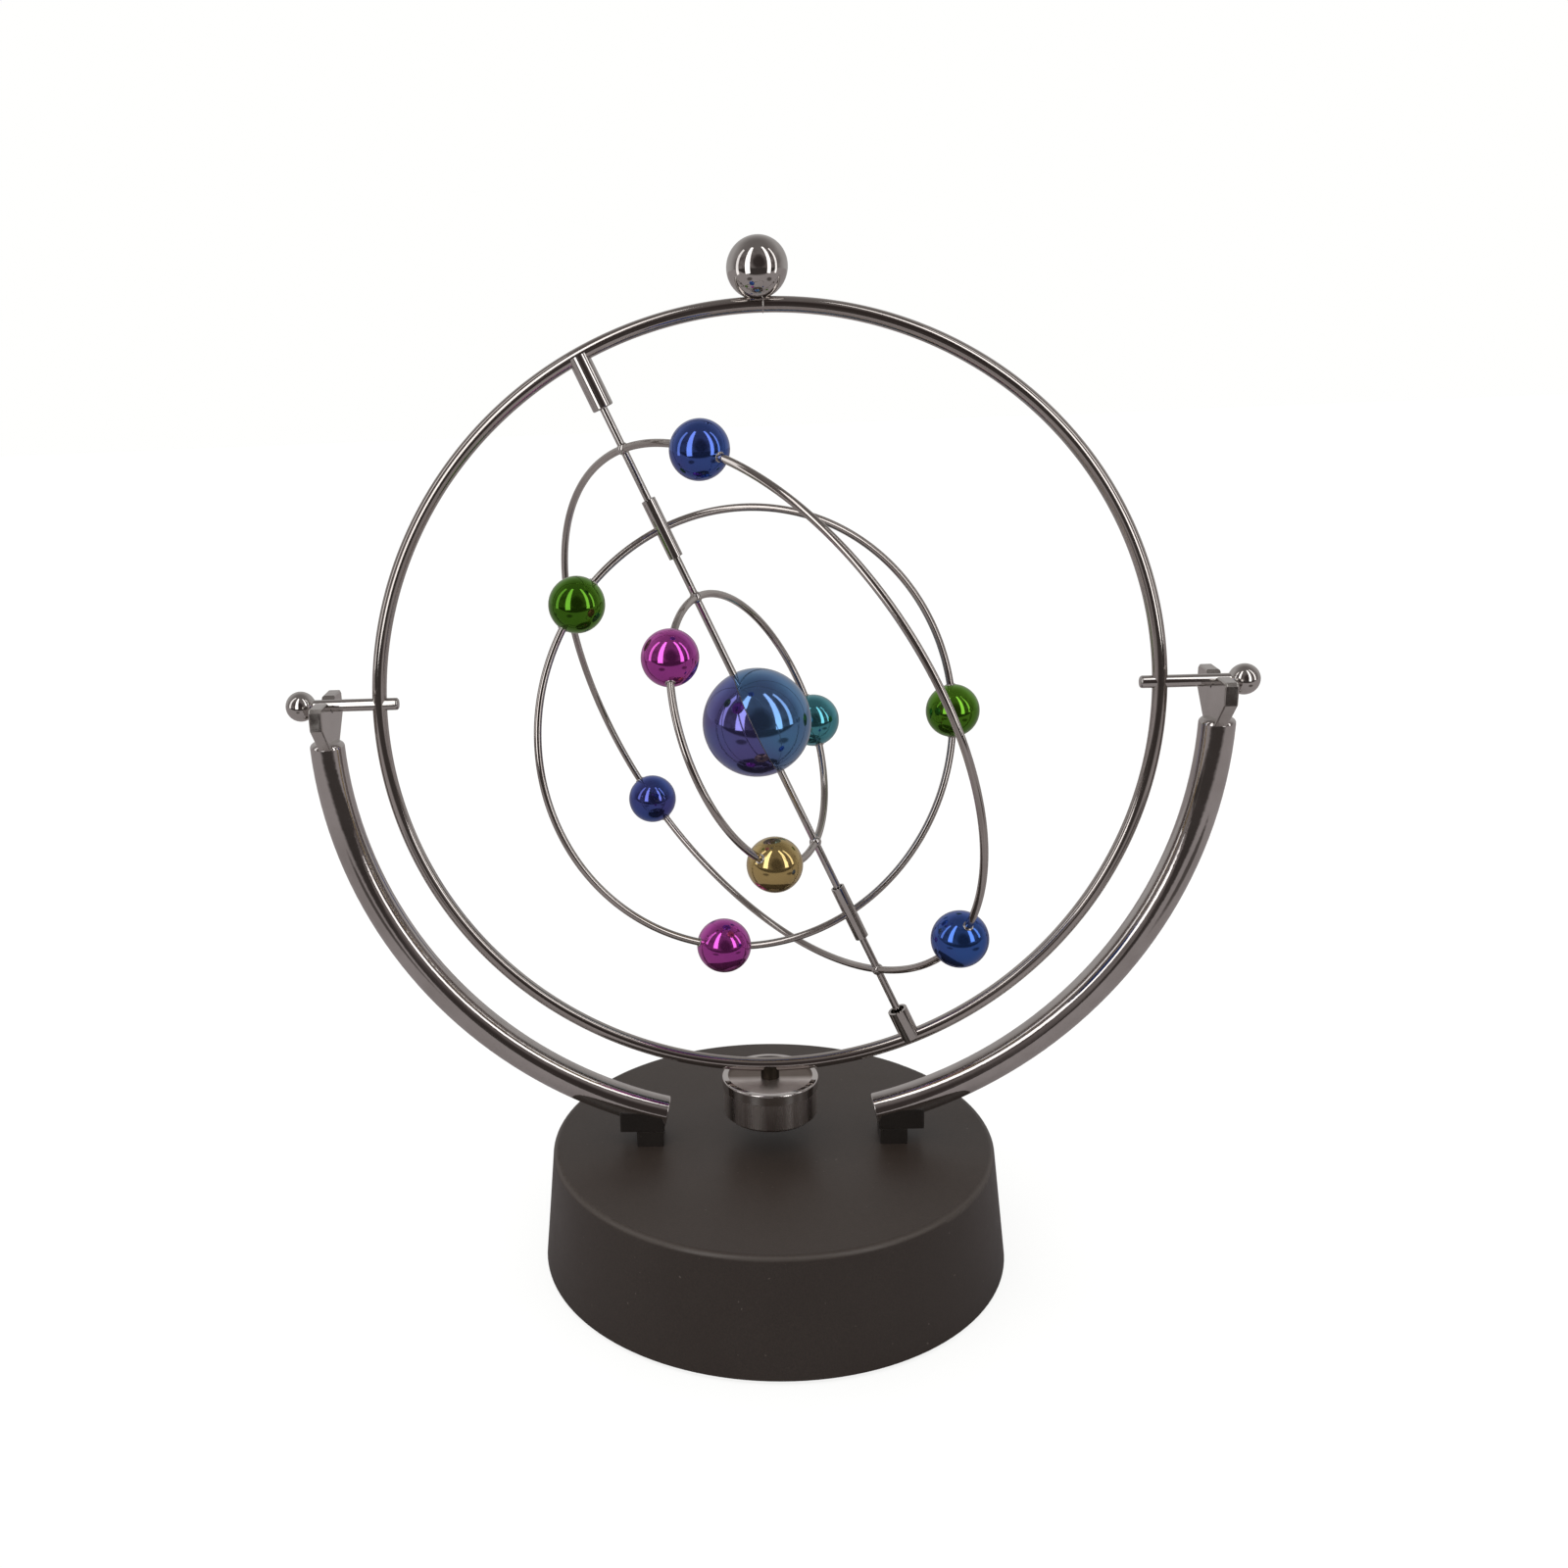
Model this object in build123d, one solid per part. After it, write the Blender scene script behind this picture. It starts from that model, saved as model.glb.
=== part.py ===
"""Magnetic desk sculpture: a ring hung on two pins over an electromagnet base.

The ring swings on a fork at the head of each curved arm.  Inside it a tilted
axle carries an outer and an inner orbit, and a middle orbit that turns on
sleeves of its own.  Millimetres, +Z up, +Y away from the front.  The origin is
the centre of the base, where its foot ring meets the table.
"""

import os
from math import asin, cos, degrees, radians, sin, sqrt, tan

from build123d import *

# ---------------------------------------------------------------- base sizes
BASE_TOP_RADIUS = 53.5
BASE_FLARE = 3.2              # how much wider the casing is at its foot
BASE_EDGE_ROUND = 1.6
SHELL_WALL = 2.2
SHELL_ROOF = 2.0
FOOT_PROUD = 1.0              # how far the foot ring lifts the casing
FOOT_RING_WIDTH = 3.4
FOOT_RECESS = 0.8
FOOT_EDGE_INSET = 1.0         # cover rim to the foot ring's groove
FOOT_CHAMFER = 0.25
COVER_THICKNESS = 2.0
COVER_GAP = 0.2               # cover rim to the shell's inside
COVER_SCREW_RADIUS = 1.2
COVER_SCREW_HEAD_RADIUS = 2.5
COVER_SCREW_HEAD_DEPTH = 1.4
COVER_SCREW_SLOT_WIDTH = 0.6
COVER_SCREW_SLOT_REACH = 1.5   # from the middle of the head
COVER_SCREW_SLOT_DEPTH = 0.7
COVER_SCREW_BITE = 8.0        # thread length in the boss
BOSS_RADIUS = 3.6
BOSS_WALL_GAP = 1.0           # boss to the shell's inside

# ------------------------------------------------------- battery compartment
CELL_RADIUS = 7.25            # AA cells
CELL_LENGTH = 50.5
CELL_BUTTON_RADIUS = 2.7
CELL_BUTTON_HEIGHT = 1.0
CELL_COUNT = 4
CELL_GAP = 0.5
CELL_FLOOR_GAP = 0.4
CONTACT_THICKNESS = 0.4
CONTACT_SIZE = 9.0
SPRING_LENGTH = 3.2
SPRING_RADIUS = 3.0
SPRING_WIRE_RADIUS = 0.25
SPRING_TURNS = 3
BOX_WALL = 1.2
DOOR_GAP = 0.3
DOOR_LEDGE = 1.75             # cover left under the ends of the compartment
DOOR_TAB_WIDTH = 5.0
DOOR_TAB_THICKNESS = 1.0
DOOR_TAB_REACH = 1.3
DOOR_TAB_ROOT = 2.0
DOOR_BUMP = 0.2
DOOR_BUMP_WIDTH = 9.0
FINGER_GROOVE_LENGTH = 14.0
FINGER_GROOVE_WIDTH = 1.2
FINGER_GROOVE_DEPTH = 0.7
FINGER_GROOVE_COUNT = 4
FINGER_GROOVE_PITCH = 2.4
FINGER_GROOVE_INSET = 4.8     # door edge to the first groove

# ------------------------------------------------------------ coil and board
COIL_HEIGHT = 8.0
COIL_RADIUS = 12.0
COIL_HUB_RADIUS = 4.0
COIL_FLANGE = 1.0
COIL_CORE_RADIUS = 2.5
COIL_CLEARANCE = 0.2
WINDING_MARGIN = 0.8          # flange rim standing past the winding
BOARD_LENGTH = 22.0
BOARD_WIDTH = 15.0
BOARD_THICKNESS = 1.6
BOARD_STANDOFF = 1.2
BOARD_STANDOFF_RADIUS = 1.6
BOARD_STANDOFF_INSET = 3.2    # board end to the middle of a standoff
BOARD_COIL_GAP = 2.0
LEAD_RADIUS = 0.45
LEAD_BEND = 0.75
LEAD_LANDING = 1.35           # how far a lead lies onto the board
COIL_LEAD_PLACES = (-7.4, 2.9)
TRANSISTOR_RADIUS = 2.3
TRANSISTOR_HEIGHT = 4.0
TRANSISTOR_FLAT = 1.15        # middle to the flat side
CAPACITOR_RADIUS = 2.0
CAPACITOR_HEIGHT = 4.2
CAPACITOR_INSET = 4.0         # board edges to the can's middle
RESISTOR_RADIUS = 0.9
RESISTOR_LENGTH = 5.0
RESISTOR_INSET = 3.6
RESISTOR_PLACE = -5.5         # middle of the resistor along the board

# ---------------------------------------------------------------- ring sizes
RING_GAP = 20.38              # outer orbit to the ring, wire to wire
RING_WIRE_RADIUS = 1.65
RING_DROP = 4.5               # ring centre below the pins
TOP_BALL_RADIUS = 6.4
TOP_BALL_SEAT = 0.65          # how far the ball is let onto the wire
PIN_RADIUS = 1.4
PIN_INNER_REACH = 4.4         # stub standing inside the ring
PIN_END_ROUND = 0.6
PIN_BALL_RADIUS = 3.45
PIN_BALL_OUT = 5.15           # ball centre outside the arm's radius

# ----------------------------------------------------------------- arm sizes
ARM_GAP = 13.0                # ring wire to arm, centre to centre
ARM_ROD_RADIUS = 4.0
ARM_RISE = 3.75               # lowest point of the arms' circle over the base
ARM_INNER_X = 25.3            # lower end of each arm
ARM_TOP_ANGLE = 89.33         # upper end, round from straight down
ARM_TOP_ROUND = 1.2
ARM_FOOT_ROUND = 0.3
PIVOT_OVER_ARM_CENTRE = 7.35
FORK_INSET = 0.5              # fork inside the arm's radius
FORK_THICKNESS = 3.0
FORK_FOOT_WIDTH = 9.0
FORK_WIDTH = 21.0
FORK_SHOULDER = 5.0           # arm head to the fork's full width
FORK_HEAD_OVER_PIVOT = 1.5
FORK_CHAMFER = 0.8
FORK_EDGE_ROUND = 0.45
FORK_SPIGOT_RADIUS = 1.5
FORK_SPIGOT_LENGTH = 5.0
FORK_SPIGOT_RISE = 3.5        # into the plate
FORK_SADDLE = 1.0             # plate reaching down over the arm's end
NOTCH_HALF_ANGLE = 50.0
PIVOT_CLEARANCE = 0.04

# ---------------------------------------------------------------- post sizes
POST_INNER_OFFSET = 0.7       # arm end to the saddle block
POST_BLOCK_LENGTH = 10.8
POST_BLOCK_WIDTH = 8.0
POST_STEM_OFFSET = 0.3
POST_STEM_LENGTH = 6.5
POST_STEM_WIDTH = 9.0
POST_STEM_HEIGHT = 3.8
POST_EDGE_ROUND = 0.5
POST_SADDLE_DROP = 2.0        # arm's centre line to the top of the saddle
ARM_SCREW_RADIUS = 1.5
ARM_SCREW_HEAD_RADIUS = 2.75
ARM_SCREW_HEAD_HEIGHT = 2.0
SCREW_HOLE_GAP = 0.1
ARM_SCREW_BITE = 5.3          # thread length in the arm

# ------------------------------------------------------- magnet under the ring
NECK_LENGTH = 1.1             # ring wire to the cap's lip
NECK_RADIUS = 2.2
NECK_TENON_RADIUS = 1.5
MAGNET_CAP_RADIUS = 11.6
MAGNET_CAP_HEIGHT = 2.6
MAGNET_LIP_WIDTH = 1.4
MAGNET_LIP_DEPTH = 0.5
MAGNET_LIP_ROUND = 0.4
MAGNET_SHELL_RADIUS = 11.3
MAGNET_SHELL_HEIGHT = 7.45
MAGNET_SHELL_WALL = 1.2
MAGNET_SHELL_BEVEL = 0.8
MAGNET_SPIGOT_DEPTH = 1.0
MAGNET_GAP = 0.1

# ------------------------------------------------------------- axle and cups
AXLE_TILT = 24.24             # from straight up, head leaning left
AXLE_OFFSET = 2.45            # axle line below and left of the ring centre
AXLE_RADIUS = 0.85
CUP_WALL = 1.45
UPPER_CUP_REACH = 12.0        # ring wire to the upper cup's mouth
LOWER_CUP_REACH = 7.8
CUP_MOUTH_ROUND = 0.35
BEARING_CLEARANCE = 0.05
UPPER_BORE_DEPTH = 8.5
LOWER_MOUTH_WALL = 0.65
LOWER_MOUTH_DEPTH = 2.6
LOWER_SEAT_DEPTH = 2.2
AXLE_END_GAP = 0.5            # at the upper end
AXLE_TIP_GAP = 0.1            # at the lower end
AXLE_TIP_CHAMFER = 0.4

# ----------------------------------------------------------- orbits and balls
ORBIT_WIRE_RADIUS = 0.85
WELD_COVER = 0.5              # weld bead past the axle's surface
BALL_RADIUS = 6.2
BIG_BALL_RADIUS = 12.3
BIG_BALL_WALL = 1.2
BIG_BALL_TURN = -1.0          # parting plane, turned about the axle
BALL_CENTRE_SHIFT = 1.37      # big ball past the ring centre, down the axle
BUSH_WALL = 0.3
SLEEVE_WALL = 0.4
SLEEVE_LENGTH = 13.8
BUSH_LENGTH = 9.0
OUTER_GAP = 17.48             # middle orbit to the outer one
OUTER_SHIFT = -0.31           # orbit centre up the axle from the big ball
OUTER_SIDE = 1.21             # orbit centre off the axle line
OUTER_TURN = 125.7
OUTER_BALL_ANGLES = (204.5, 73.0, 326.0)
MIDDLE_GAP = 17.88            # inner orbit to the middle one
MIDDLE_SHIFT = 1.19
MIDDLE_SIDE = -1.77
MIDDLE_TURN = 20.5
MIDDLE_BALL_ANGLES = (207.5, 66.5, 325.0)
INNER_GAP = 19.46             # big ball's surface to the inner orbit
INNER_SHIFT = 0.0
INNER_SIDE = -3.43
INNER_TURN = 66.9
INNER_BALL_ANGLES = (216.5, 69.5, 325.0)

# ------------------------------------------------------------ derived places
INNER_RADIUS = BIG_BALL_RADIUS + INNER_GAP
MIDDLE_RADIUS = INNER_RADIUS + MIDDLE_GAP
OUTER_RADIUS = MIDDLE_RADIUS + OUTER_GAP
RING_RADIUS = OUTER_RADIUS + RING_GAP
ARM_RADIUS = RING_RADIUS + ARM_GAP
COVER_TOP_Z = FOOT_PROUD + COVER_THICKNESS
CELL_Z = COVER_TOP_Z + CELL_FLOOR_GAP + CELL_RADIUS
BAY_TOP_Z = CELL_Z + CELL_RADIUS + CELL_FLOOR_GAP
BOX_TOP_Z = BAY_TOP_Z + BOX_WALL
COIL_BOTTOM_Z = BOX_TOP_Z + COIL_CLEARANCE
COIL_TOP_Z = COIL_BOTTOM_Z + COIL_HEIGHT
ROOF_Z = COIL_TOP_Z + COIL_CLEARANCE
BASE_HEIGHT = ROOF_Z + SHELL_ROOF
ARM_CENTRE_Z = BASE_HEIGHT + ARM_RISE + ARM_RADIUS
PIVOT_Z = ARM_CENTRE_Z + PIVOT_OVER_ARM_CENTRE
RING_CENTRE_Z = PIVOT_Z - RING_DROP
PIN_BALL_X = ARM_RADIUS + PIN_BALL_OUT
FORK_X = ARM_RADIUS - FORK_INSET
RING_BOTTOM_Z = RING_CENTRE_Z - RING_RADIUS - RING_WIRE_RADIUS
CELL_PITCH = 2 * CELL_RADIUS + CELL_GAP
BAY_HALF_WIDTH = CELL_COUNT * CELL_PITCH / 2
BAY_HALF_LENGTH = (CELL_LENGTH + SPRING_LENGTH) / 2 + CONTACT_THICKNESS
DOOR_HALF_WIDTH = BAY_HALF_WIDTH - CELL_GAP
DOOR_HALF_LENGTH = BAY_HALF_LENGTH - DOOR_LEDGE
SHELL_SLOPE = BASE_FLARE / (BASE_HEIGHT - FOOT_PROUD)
SHELL_RADIUS_AT_COVER = BASE_TOP_RADIUS + (BASE_HEIGHT - COVER_TOP_Z) * SHELL_SLOPE
COVER_RADIUS = SHELL_RADIUS_AT_COVER - SHELL_WALL - COVER_GAP
BOSS_PLACE = BASE_TOP_RADIUS - SHELL_WALL - BOSS_WALL_GAP - BOSS_RADIUS
FOOT_RING_OUTER = COVER_RADIUS - FOOT_EDGE_INSET
FOOT_RING_INNER = FOOT_RING_OUTER - FOOT_RING_WIDTH
HINGE_Y = -DOOR_HALF_LENGTH + DOOR_GAP + COVER_THICKNESS / 2
HINGE_Z = FOOT_PROUD + COVER_THICKNESS / 2

AXLE_DIRECTION = Vector(sin(radians(AXLE_TILT)), 0, -cos(radians(AXLE_TILT)))
AXLE_SIDE = Vector(cos(radians(AXLE_TILT)), 0, sin(radians(AXLE_TILT)))
BACK = Vector(0, 1, 0)
RING_CENTRE = Vector(0, 0, RING_CENTRE_Z)
BALL_CENTRE = RING_CENTRE - AXLE_SIDE * AXLE_OFFSET + AXLE_DIRECTION * BALL_CENTRE_SHIFT
CHORD_HALF = sqrt(RING_RADIUS**2 - AXLE_OFFSET**2)
UPPER_WIRE = -CHORD_HALF - BALL_CENTRE_SHIFT      # ring wire, along the axle from the big ball
LOWER_WIRE = CHORD_HALF - BALL_CENTRE_SHIFT
BEARING_BORE = AXLE_RADIUS + BEARING_CLEARANCE
CUP_RADIUS = BEARING_BORE + CUP_WALL
LOWER_MOUTH_RADIUS = CUP_RADIUS - LOWER_MOUTH_WALL
SLEEVE_BORE_RADIUS = BEARING_BORE + BUSH_WALL
SLEEVE_RADIUS = SLEEVE_BORE_RADIUS + SLEEVE_WALL
WELD_RADIUS = AXLE_RADIUS + WELD_COVER
UPPER_MOUTH = UPPER_WIRE + UPPER_CUP_REACH
LOWER_MOUTH = LOWER_WIRE - LOWER_CUP_REACH
POST_X = ARM_INNER_X + POST_INNER_OFFSET
STEM_X = POST_X + POST_STEM_OFFSET
ARM_SCREW_X = STEM_X + POST_STEM_LENGTH / 2

SIDES = (("left", -1), ("right", 1))


# ------------------------------------------------------------------- helpers
def along_axle(distance):
    """Point on the axle line, measured down it from the big ball's centre."""
    return BALL_CENTRE + AXLE_DIRECTION * distance


def rod_between(start, end, radius):
    """Straight round bar from one point to another."""
    length = (end - start).length
    plane = Plane(origin=start, z_dir=end - start)
    return plane * Cylinder(radius, length, align=(Align.CENTER, Align.CENTER, Align.MIN))


def disc(radius, bottom, top, x=0.0, y=0.0):
    """Upright cylinder between two heights."""
    shape = Cylinder(radius, top - bottom, align=(Align.CENTER, Align.CENTER, Align.MIN))
    return Pos(x, y, bottom) * shape


def block(x_range, y_range, z_range):
    """Box between pairs of X, Y and Z limits."""
    size = [high - low for low, high in (x_range, y_range, z_range)]
    centre = [(high + low) / 2 for low, high in (x_range, y_range, z_range)]
    return Pos(*centre) * Box(*size)


def ball(centre, radius):
    """Sphere at a point."""
    return Pos(*centre) * Sphere(radius)


def hoop(centre, normal, radius, wire_radius):
    """Closed circle of round wire."""
    return Plane(origin=centre, z_dir=normal) * Torus(radius, wire_radius)


def mirrored(shape, side):
    """The right-hand shape as it is, or its mirror image on the left."""
    return shape if side > 0 else shape.mirror(Plane.YZ)


def save(name, shape):
    """Write one node, as one solid or as a group of separate ones."""
    solids = shape.solids()
    whole = solids[0] if len(solids) == 1 else Compound(children=list(solids))
    export_step(whole, f"parts/{name}.step")


# ------------------------------------------------------------- base and cover
def shell_radius(height, inset=0.0):
    """Radius of the tapered casing at a height, less an inset."""
    return BASE_TOP_RADIUS + (BASE_HEIGHT - height) * SHELL_SLOPE - inset


def boss_places():
    """Centres of the four cover screws."""
    return [(BOSS_PLACE, 0), (0, BOSS_PLACE), (-BOSS_PLACE, 0), (0, -BOSS_PLACE)]


def make_top_shell():
    """Tapered cup with a rounded top edge, four screw bosses and two screw holes."""
    outer = Polyline(
        (0, FOOT_PROUD),
        (shell_radius(FOOT_PROUD), FOOT_PROUD),
        (BASE_TOP_RADIUS, BASE_HEIGHT),
        (0, BASE_HEIGHT),
        close=True,
    )
    body = revolve(Plane.XZ * make_face(outer), Axis.Z)
    body = fillet(body.edges().filter_by(GeomType.CIRCLE).sort_by(Axis.Z)[-1], BASE_EDGE_ROUND)
    inner = Polyline(
        (0, 0),
        (shell_radius(0, SHELL_WALL), 0),
        (shell_radius(ROOF_Z, SHELL_WALL), ROOF_Z),
        (0, ROOF_Z),
        close=True,
    )
    body -= revolve(Plane.XZ * make_face(inner), Axis.Z)
    for x, y in boss_places():
        body += disc(BOSS_RADIUS, COVER_TOP_Z, ROOF_Z, x, y)
        body -= disc(COVER_SCREW_RADIUS, COVER_TOP_Z, COVER_TOP_Z + COVER_SCREW_BITE, x, y)
    for _, side in SIDES:
        body -= disc(ARM_SCREW_RADIUS + SCREW_HOLE_GAP, ROOF_Z, BASE_HEIGHT, side * ARM_SCREW_X)
    return body


def foot_ring(bottom, top):
    """Flat ring between two heights, for the foot and for its groove."""
    return disc(FOOT_RING_OUTER, bottom, top) - disc(FOOT_RING_INNER, bottom, top)


def make_base_cover():
    """Round bottom plate that carries the battery compartment and the board's posts."""
    cover = disc(COVER_RADIUS, FOOT_PROUD, COVER_TOP_Z)
    wall_x = BAY_HALF_WIDTH + BOX_WALL
    wall_y = BAY_HALF_LENGTH + BOX_WALL
    cover += block((-wall_x, wall_x), (-wall_y, wall_y), (COVER_TOP_Z, BOX_TOP_Z))
    cover -= block(
        (-BAY_HALF_WIDTH, BAY_HALF_WIDTH),
        (-BAY_HALF_LENGTH, BAY_HALF_LENGTH),
        (COVER_TOP_Z, BAY_TOP_Z),
    )
    door_x = DOOR_HALF_WIDTH
    door_y = DOOR_HALF_LENGTH
    cover -= block((-door_x, door_x), (-door_y, door_y), (FOOT_PROUD, COVER_TOP_Z))
    cover -= foot_ring(FOOT_PROUD, FOOT_PROUD + FOOT_RECESS)
    for x, y in boss_places():
        cover -= disc(COVER_SCREW_RADIUS + SCREW_HOLE_GAP, FOOT_PROUD, COVER_TOP_Z, x, y)
        head_top = FOOT_PROUD + COVER_SCREW_HEAD_DEPTH
        cover -= disc(COVER_SCREW_HEAD_RADIUS + SCREW_HOLE_GAP, FOOT_PROUD, head_top, x, y)
    for x, y in board_post_places():
        cover += disc(BOARD_STANDOFF_RADIUS, BOX_TOP_Z, BOX_TOP_Z + BOARD_STANDOFF, x, y)
    return cover


def make_foot_ring():
    """Rubber ring glued into a groove in the cover."""
    ring = foot_ring(0, FOOT_PROUD + FOOT_RECESS)
    rims = ring.edges().filter_by(GeomType.CIRCLE).group_by(Axis.Z)[0]
    return chamfer(rims, FOOT_CHAMFER)


def make_cover_screws():
    """Four self-tapping screws with sunk pan heads and a cross slot."""
    screws = Part()
    along = COVER_SCREW_SLOT_REACH
    across = COVER_SCREW_SLOT_WIDTH / 2
    for x, y in boss_places():
        head_top = FOOT_PROUD + COVER_SCREW_HEAD_DEPTH
        screw = disc(COVER_SCREW_HEAD_RADIUS, FOOT_PROUD, head_top, x, y)
        screw += disc(COVER_SCREW_RADIUS, head_top, COVER_TOP_Z + COVER_SCREW_BITE, x, y)
        for reach_x, reach_y in ((along, across), (across, along)):
            screw -= block(
                (x - reach_x, x + reach_x),
                (y - reach_y, y + reach_y),
                (FOOT_PROUD, FOOT_PROUD + COVER_SCREW_SLOT_DEPTH),
            )
        screws += screw
    return screws


def make_battery_door():
    """Flat door with a rounded hinge edge, two tabs, a snap bump and finger grooves."""
    half_x = DOOR_HALF_WIDTH - DOOR_GAP
    far_y = DOOR_HALF_LENGTH - DOOR_GAP
    door = block((-half_x, half_x), (HINGE_Y, far_y), (FOOT_PROUD, COVER_TOP_Z))
    edge_ends = (Vector(-half_x, HINGE_Y, HINGE_Z), Vector(half_x, HINGE_Y, HINGE_Z))
    door += rod_between(*edge_ends, COVER_THICKNESS / 2)
    tab_bottom = COVER_TOP_Z + DOOR_GAP
    tab_top = tab_bottom + DOOR_TAB_THICKNESS
    tab_end = -DOOR_HALF_LENGTH - DOOR_TAB_REACH
    for x in (-CELL_PITCH, CELL_PITCH):
        tab_x = (x - DOOR_TAB_WIDTH / 2, x + DOOR_TAB_WIDTH / 2)
        door += block(tab_x, (HINGE_Y, HINGE_Y + DOOR_TAB_ROOT), (HINGE_Z, tab_top))
        door += block(tab_x, (tab_end, HINGE_Y + DOOR_TAB_ROOT), (tab_bottom, tab_top))
    door += block(
        (-DOOR_BUMP_WIDTH / 2, DOOR_BUMP_WIDTH / 2),
        (far_y, far_y + DOOR_BUMP),
        (HINGE_Z - DOOR_BUMP, HINGE_Z + DOOR_BUMP),
    )
    for index in range(FINGER_GROOVE_COUNT):
        y = far_y - FINGER_GROOVE_INSET - index * FINGER_GROOVE_PITCH
        door -= block(
            (-FINGER_GROOVE_LENGTH / 2, FINGER_GROOVE_LENGTH / 2),
            (y - FINGER_GROOVE_WIDTH / 2, y + FINGER_GROOVE_WIDTH / 2),
            (FOOT_PROUD, FOOT_PROUD + FINGER_GROOVE_DEPTH),
        )
    return door


# -------------------------------------------------------- cells and contacts
def cell_places():
    """X of each cell, and which way its button points along Y."""
    first = -(CELL_COUNT - 1) * CELL_PITCH / 2
    return [(first + index * CELL_PITCH, 1 if index % 2 == 0 else -1) for index in range(CELL_COUNT)]


def cell_y_limits(button):
    """Flat ends of a cell: its button end touches a plate, its other end a spring."""
    tip = BAY_HALF_LENGTH - CONTACT_THICKNESS
    return sorted((button * (tip - CELL_BUTTON_HEIGHT), button * (tip - CELL_LENGTH)))


def make_cell(x, button):
    """AA cell lying along Y, with its button."""
    low, high = cell_y_limits(button)
    cell = rod_between(Vector(x, low, CELL_Z), Vector(x, high, CELL_Z), CELL_RADIUS)
    shoulder = high if button > 0 else low
    tip = shoulder + button * CELL_BUTTON_HEIGHT
    cell += rod_between(Vector(x, shoulder, CELL_Z), Vector(x, tip, CELL_Z), CELL_BUTTON_RADIUS)
    return cell


def make_contact_plates():
    """Nickelled strips on both end walls, one behind each end of each cell."""
    plates = Part()
    half = CONTACT_SIZE / 2
    for x, _ in cell_places():
        for end in (-1, 1):
            wall = end * BAY_HALF_LENGTH
            inside = end * (BAY_HALF_LENGTH - CONTACT_THICKNESS)
            y_range = (min(wall, inside), max(wall, inside))
            plates += block((x - half, x + half), y_range, (CELL_Z - half, CELL_Z + half))
    return plates


def make_contact_springs():
    """Coil springs that press on the flat ends of the cells."""
    springs = Part()
    for x, button in cell_places():
        end = -button
        wall = end * (BAY_HALF_LENGTH - CONTACT_THICKNESS)
        low, high = cell_y_limits(button)
        cell_end = low if end < 0 else high
        free = abs(wall - cell_end) - 2 * SPRING_WIRE_RADIUS
        path = Helix(free / SPRING_TURNS, free, SPRING_RADIUS)
        section = Plane(origin=path @ 0, z_dir=path % 0) * Circle(SPRING_WIRE_RADIUS)
        coil = sweep(section, path=path, is_frenet=True)
        start = min(wall, cell_end) + SPRING_WIRE_RADIUS
        springs += Plane(origin=(x, start, CELL_Z), z_dir=(0, 1, 0)) * coil
    return springs


# ------------------------------------------------------------ coil and board
def make_coil_bobbin():
    """Flanged spool for the drive coil."""
    spool = disc(COIL_HUB_RADIUS, COIL_BOTTOM_Z, COIL_TOP_Z)
    spool += disc(COIL_RADIUS, COIL_BOTTOM_Z, COIL_BOTTOM_Z + COIL_FLANGE)
    spool += disc(COIL_RADIUS, COIL_TOP_Z - COIL_FLANGE, COIL_TOP_Z)
    return spool - disc(COIL_CORE_RADIUS, COIL_BOTTOM_Z, COIL_TOP_Z)


def make_coil_winding():
    """Copper winding, filling the spool to just inside its flanges."""
    low = COIL_BOTTOM_Z + COIL_FLANGE
    high = COIL_TOP_Z - COIL_FLANGE
    return disc(COIL_RADIUS - WINDING_MARGIN, low, high) - disc(COIL_HUB_RADIUS, low, high)


def board_x_range():
    """The board lies beside the coil, along X."""
    start = COIL_RADIUS + BOARD_COIL_GAP
    return (start, start + BOARD_WIDTH)


def board_post_places():
    """Centres of the two posts under the board."""
    low, high = board_x_range()
    reach = BOARD_LENGTH / 2 - BOARD_STANDOFF_INSET
    return [((low + high) / 2, end * reach) for end in (-1, 1)]


def board_top():
    """Height of the board's upper face."""
    return BOX_TOP_Z + BOARD_STANDOFF + BOARD_THICKNESS


def make_circuit_board():
    """Small single-sided board."""
    half = BOARD_LENGTH / 2
    return block(board_x_range(), (-half, half), (BOX_TOP_Z + BOARD_STANDOFF, board_top()))


def make_transistor():
    """Half-round transistor that switches the coil."""
    low, high = board_x_range()
    x = (low + high) / 2
    body = disc(TRANSISTOR_RADIUS, board_top(), board_top() + TRANSISTOR_HEIGHT, x, 0)
    return body - block((x + TRANSISTOR_FLAT, high), (-high, high), (board_top(), BASE_HEIGHT))


def make_capacitor():
    """Small electrolytic can."""
    x = board_x_range()[0] + CAPACITOR_INSET
    y = BOARD_LENGTH / 2 - CAPACITOR_INSET
    return disc(CAPACITOR_RADIUS, board_top(), board_top() + CAPACITOR_HEIGHT, x, y)


def make_resistor():
    """Axial resistor lying on the board."""
    x = board_x_range()[0] + RESISTOR_INSET
    y = RESISTOR_PLACE - RESISTOR_LENGTH / 2
    z = board_top() + RESISTOR_RADIUS
    return rod_between(Vector(x, y, z), Vector(x, y + RESISTOR_LENGTH, z), RESISTOR_RADIUS)


def make_lead(points):
    """Insulated lead along a path with rounded corners."""
    path = FilletPolyline(*points, radius=LEAD_BEND)
    section = Plane(origin=path @ 0, z_dir=path % 0) * Circle(LEAD_RADIUS)
    return sweep(section, path=path)


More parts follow.
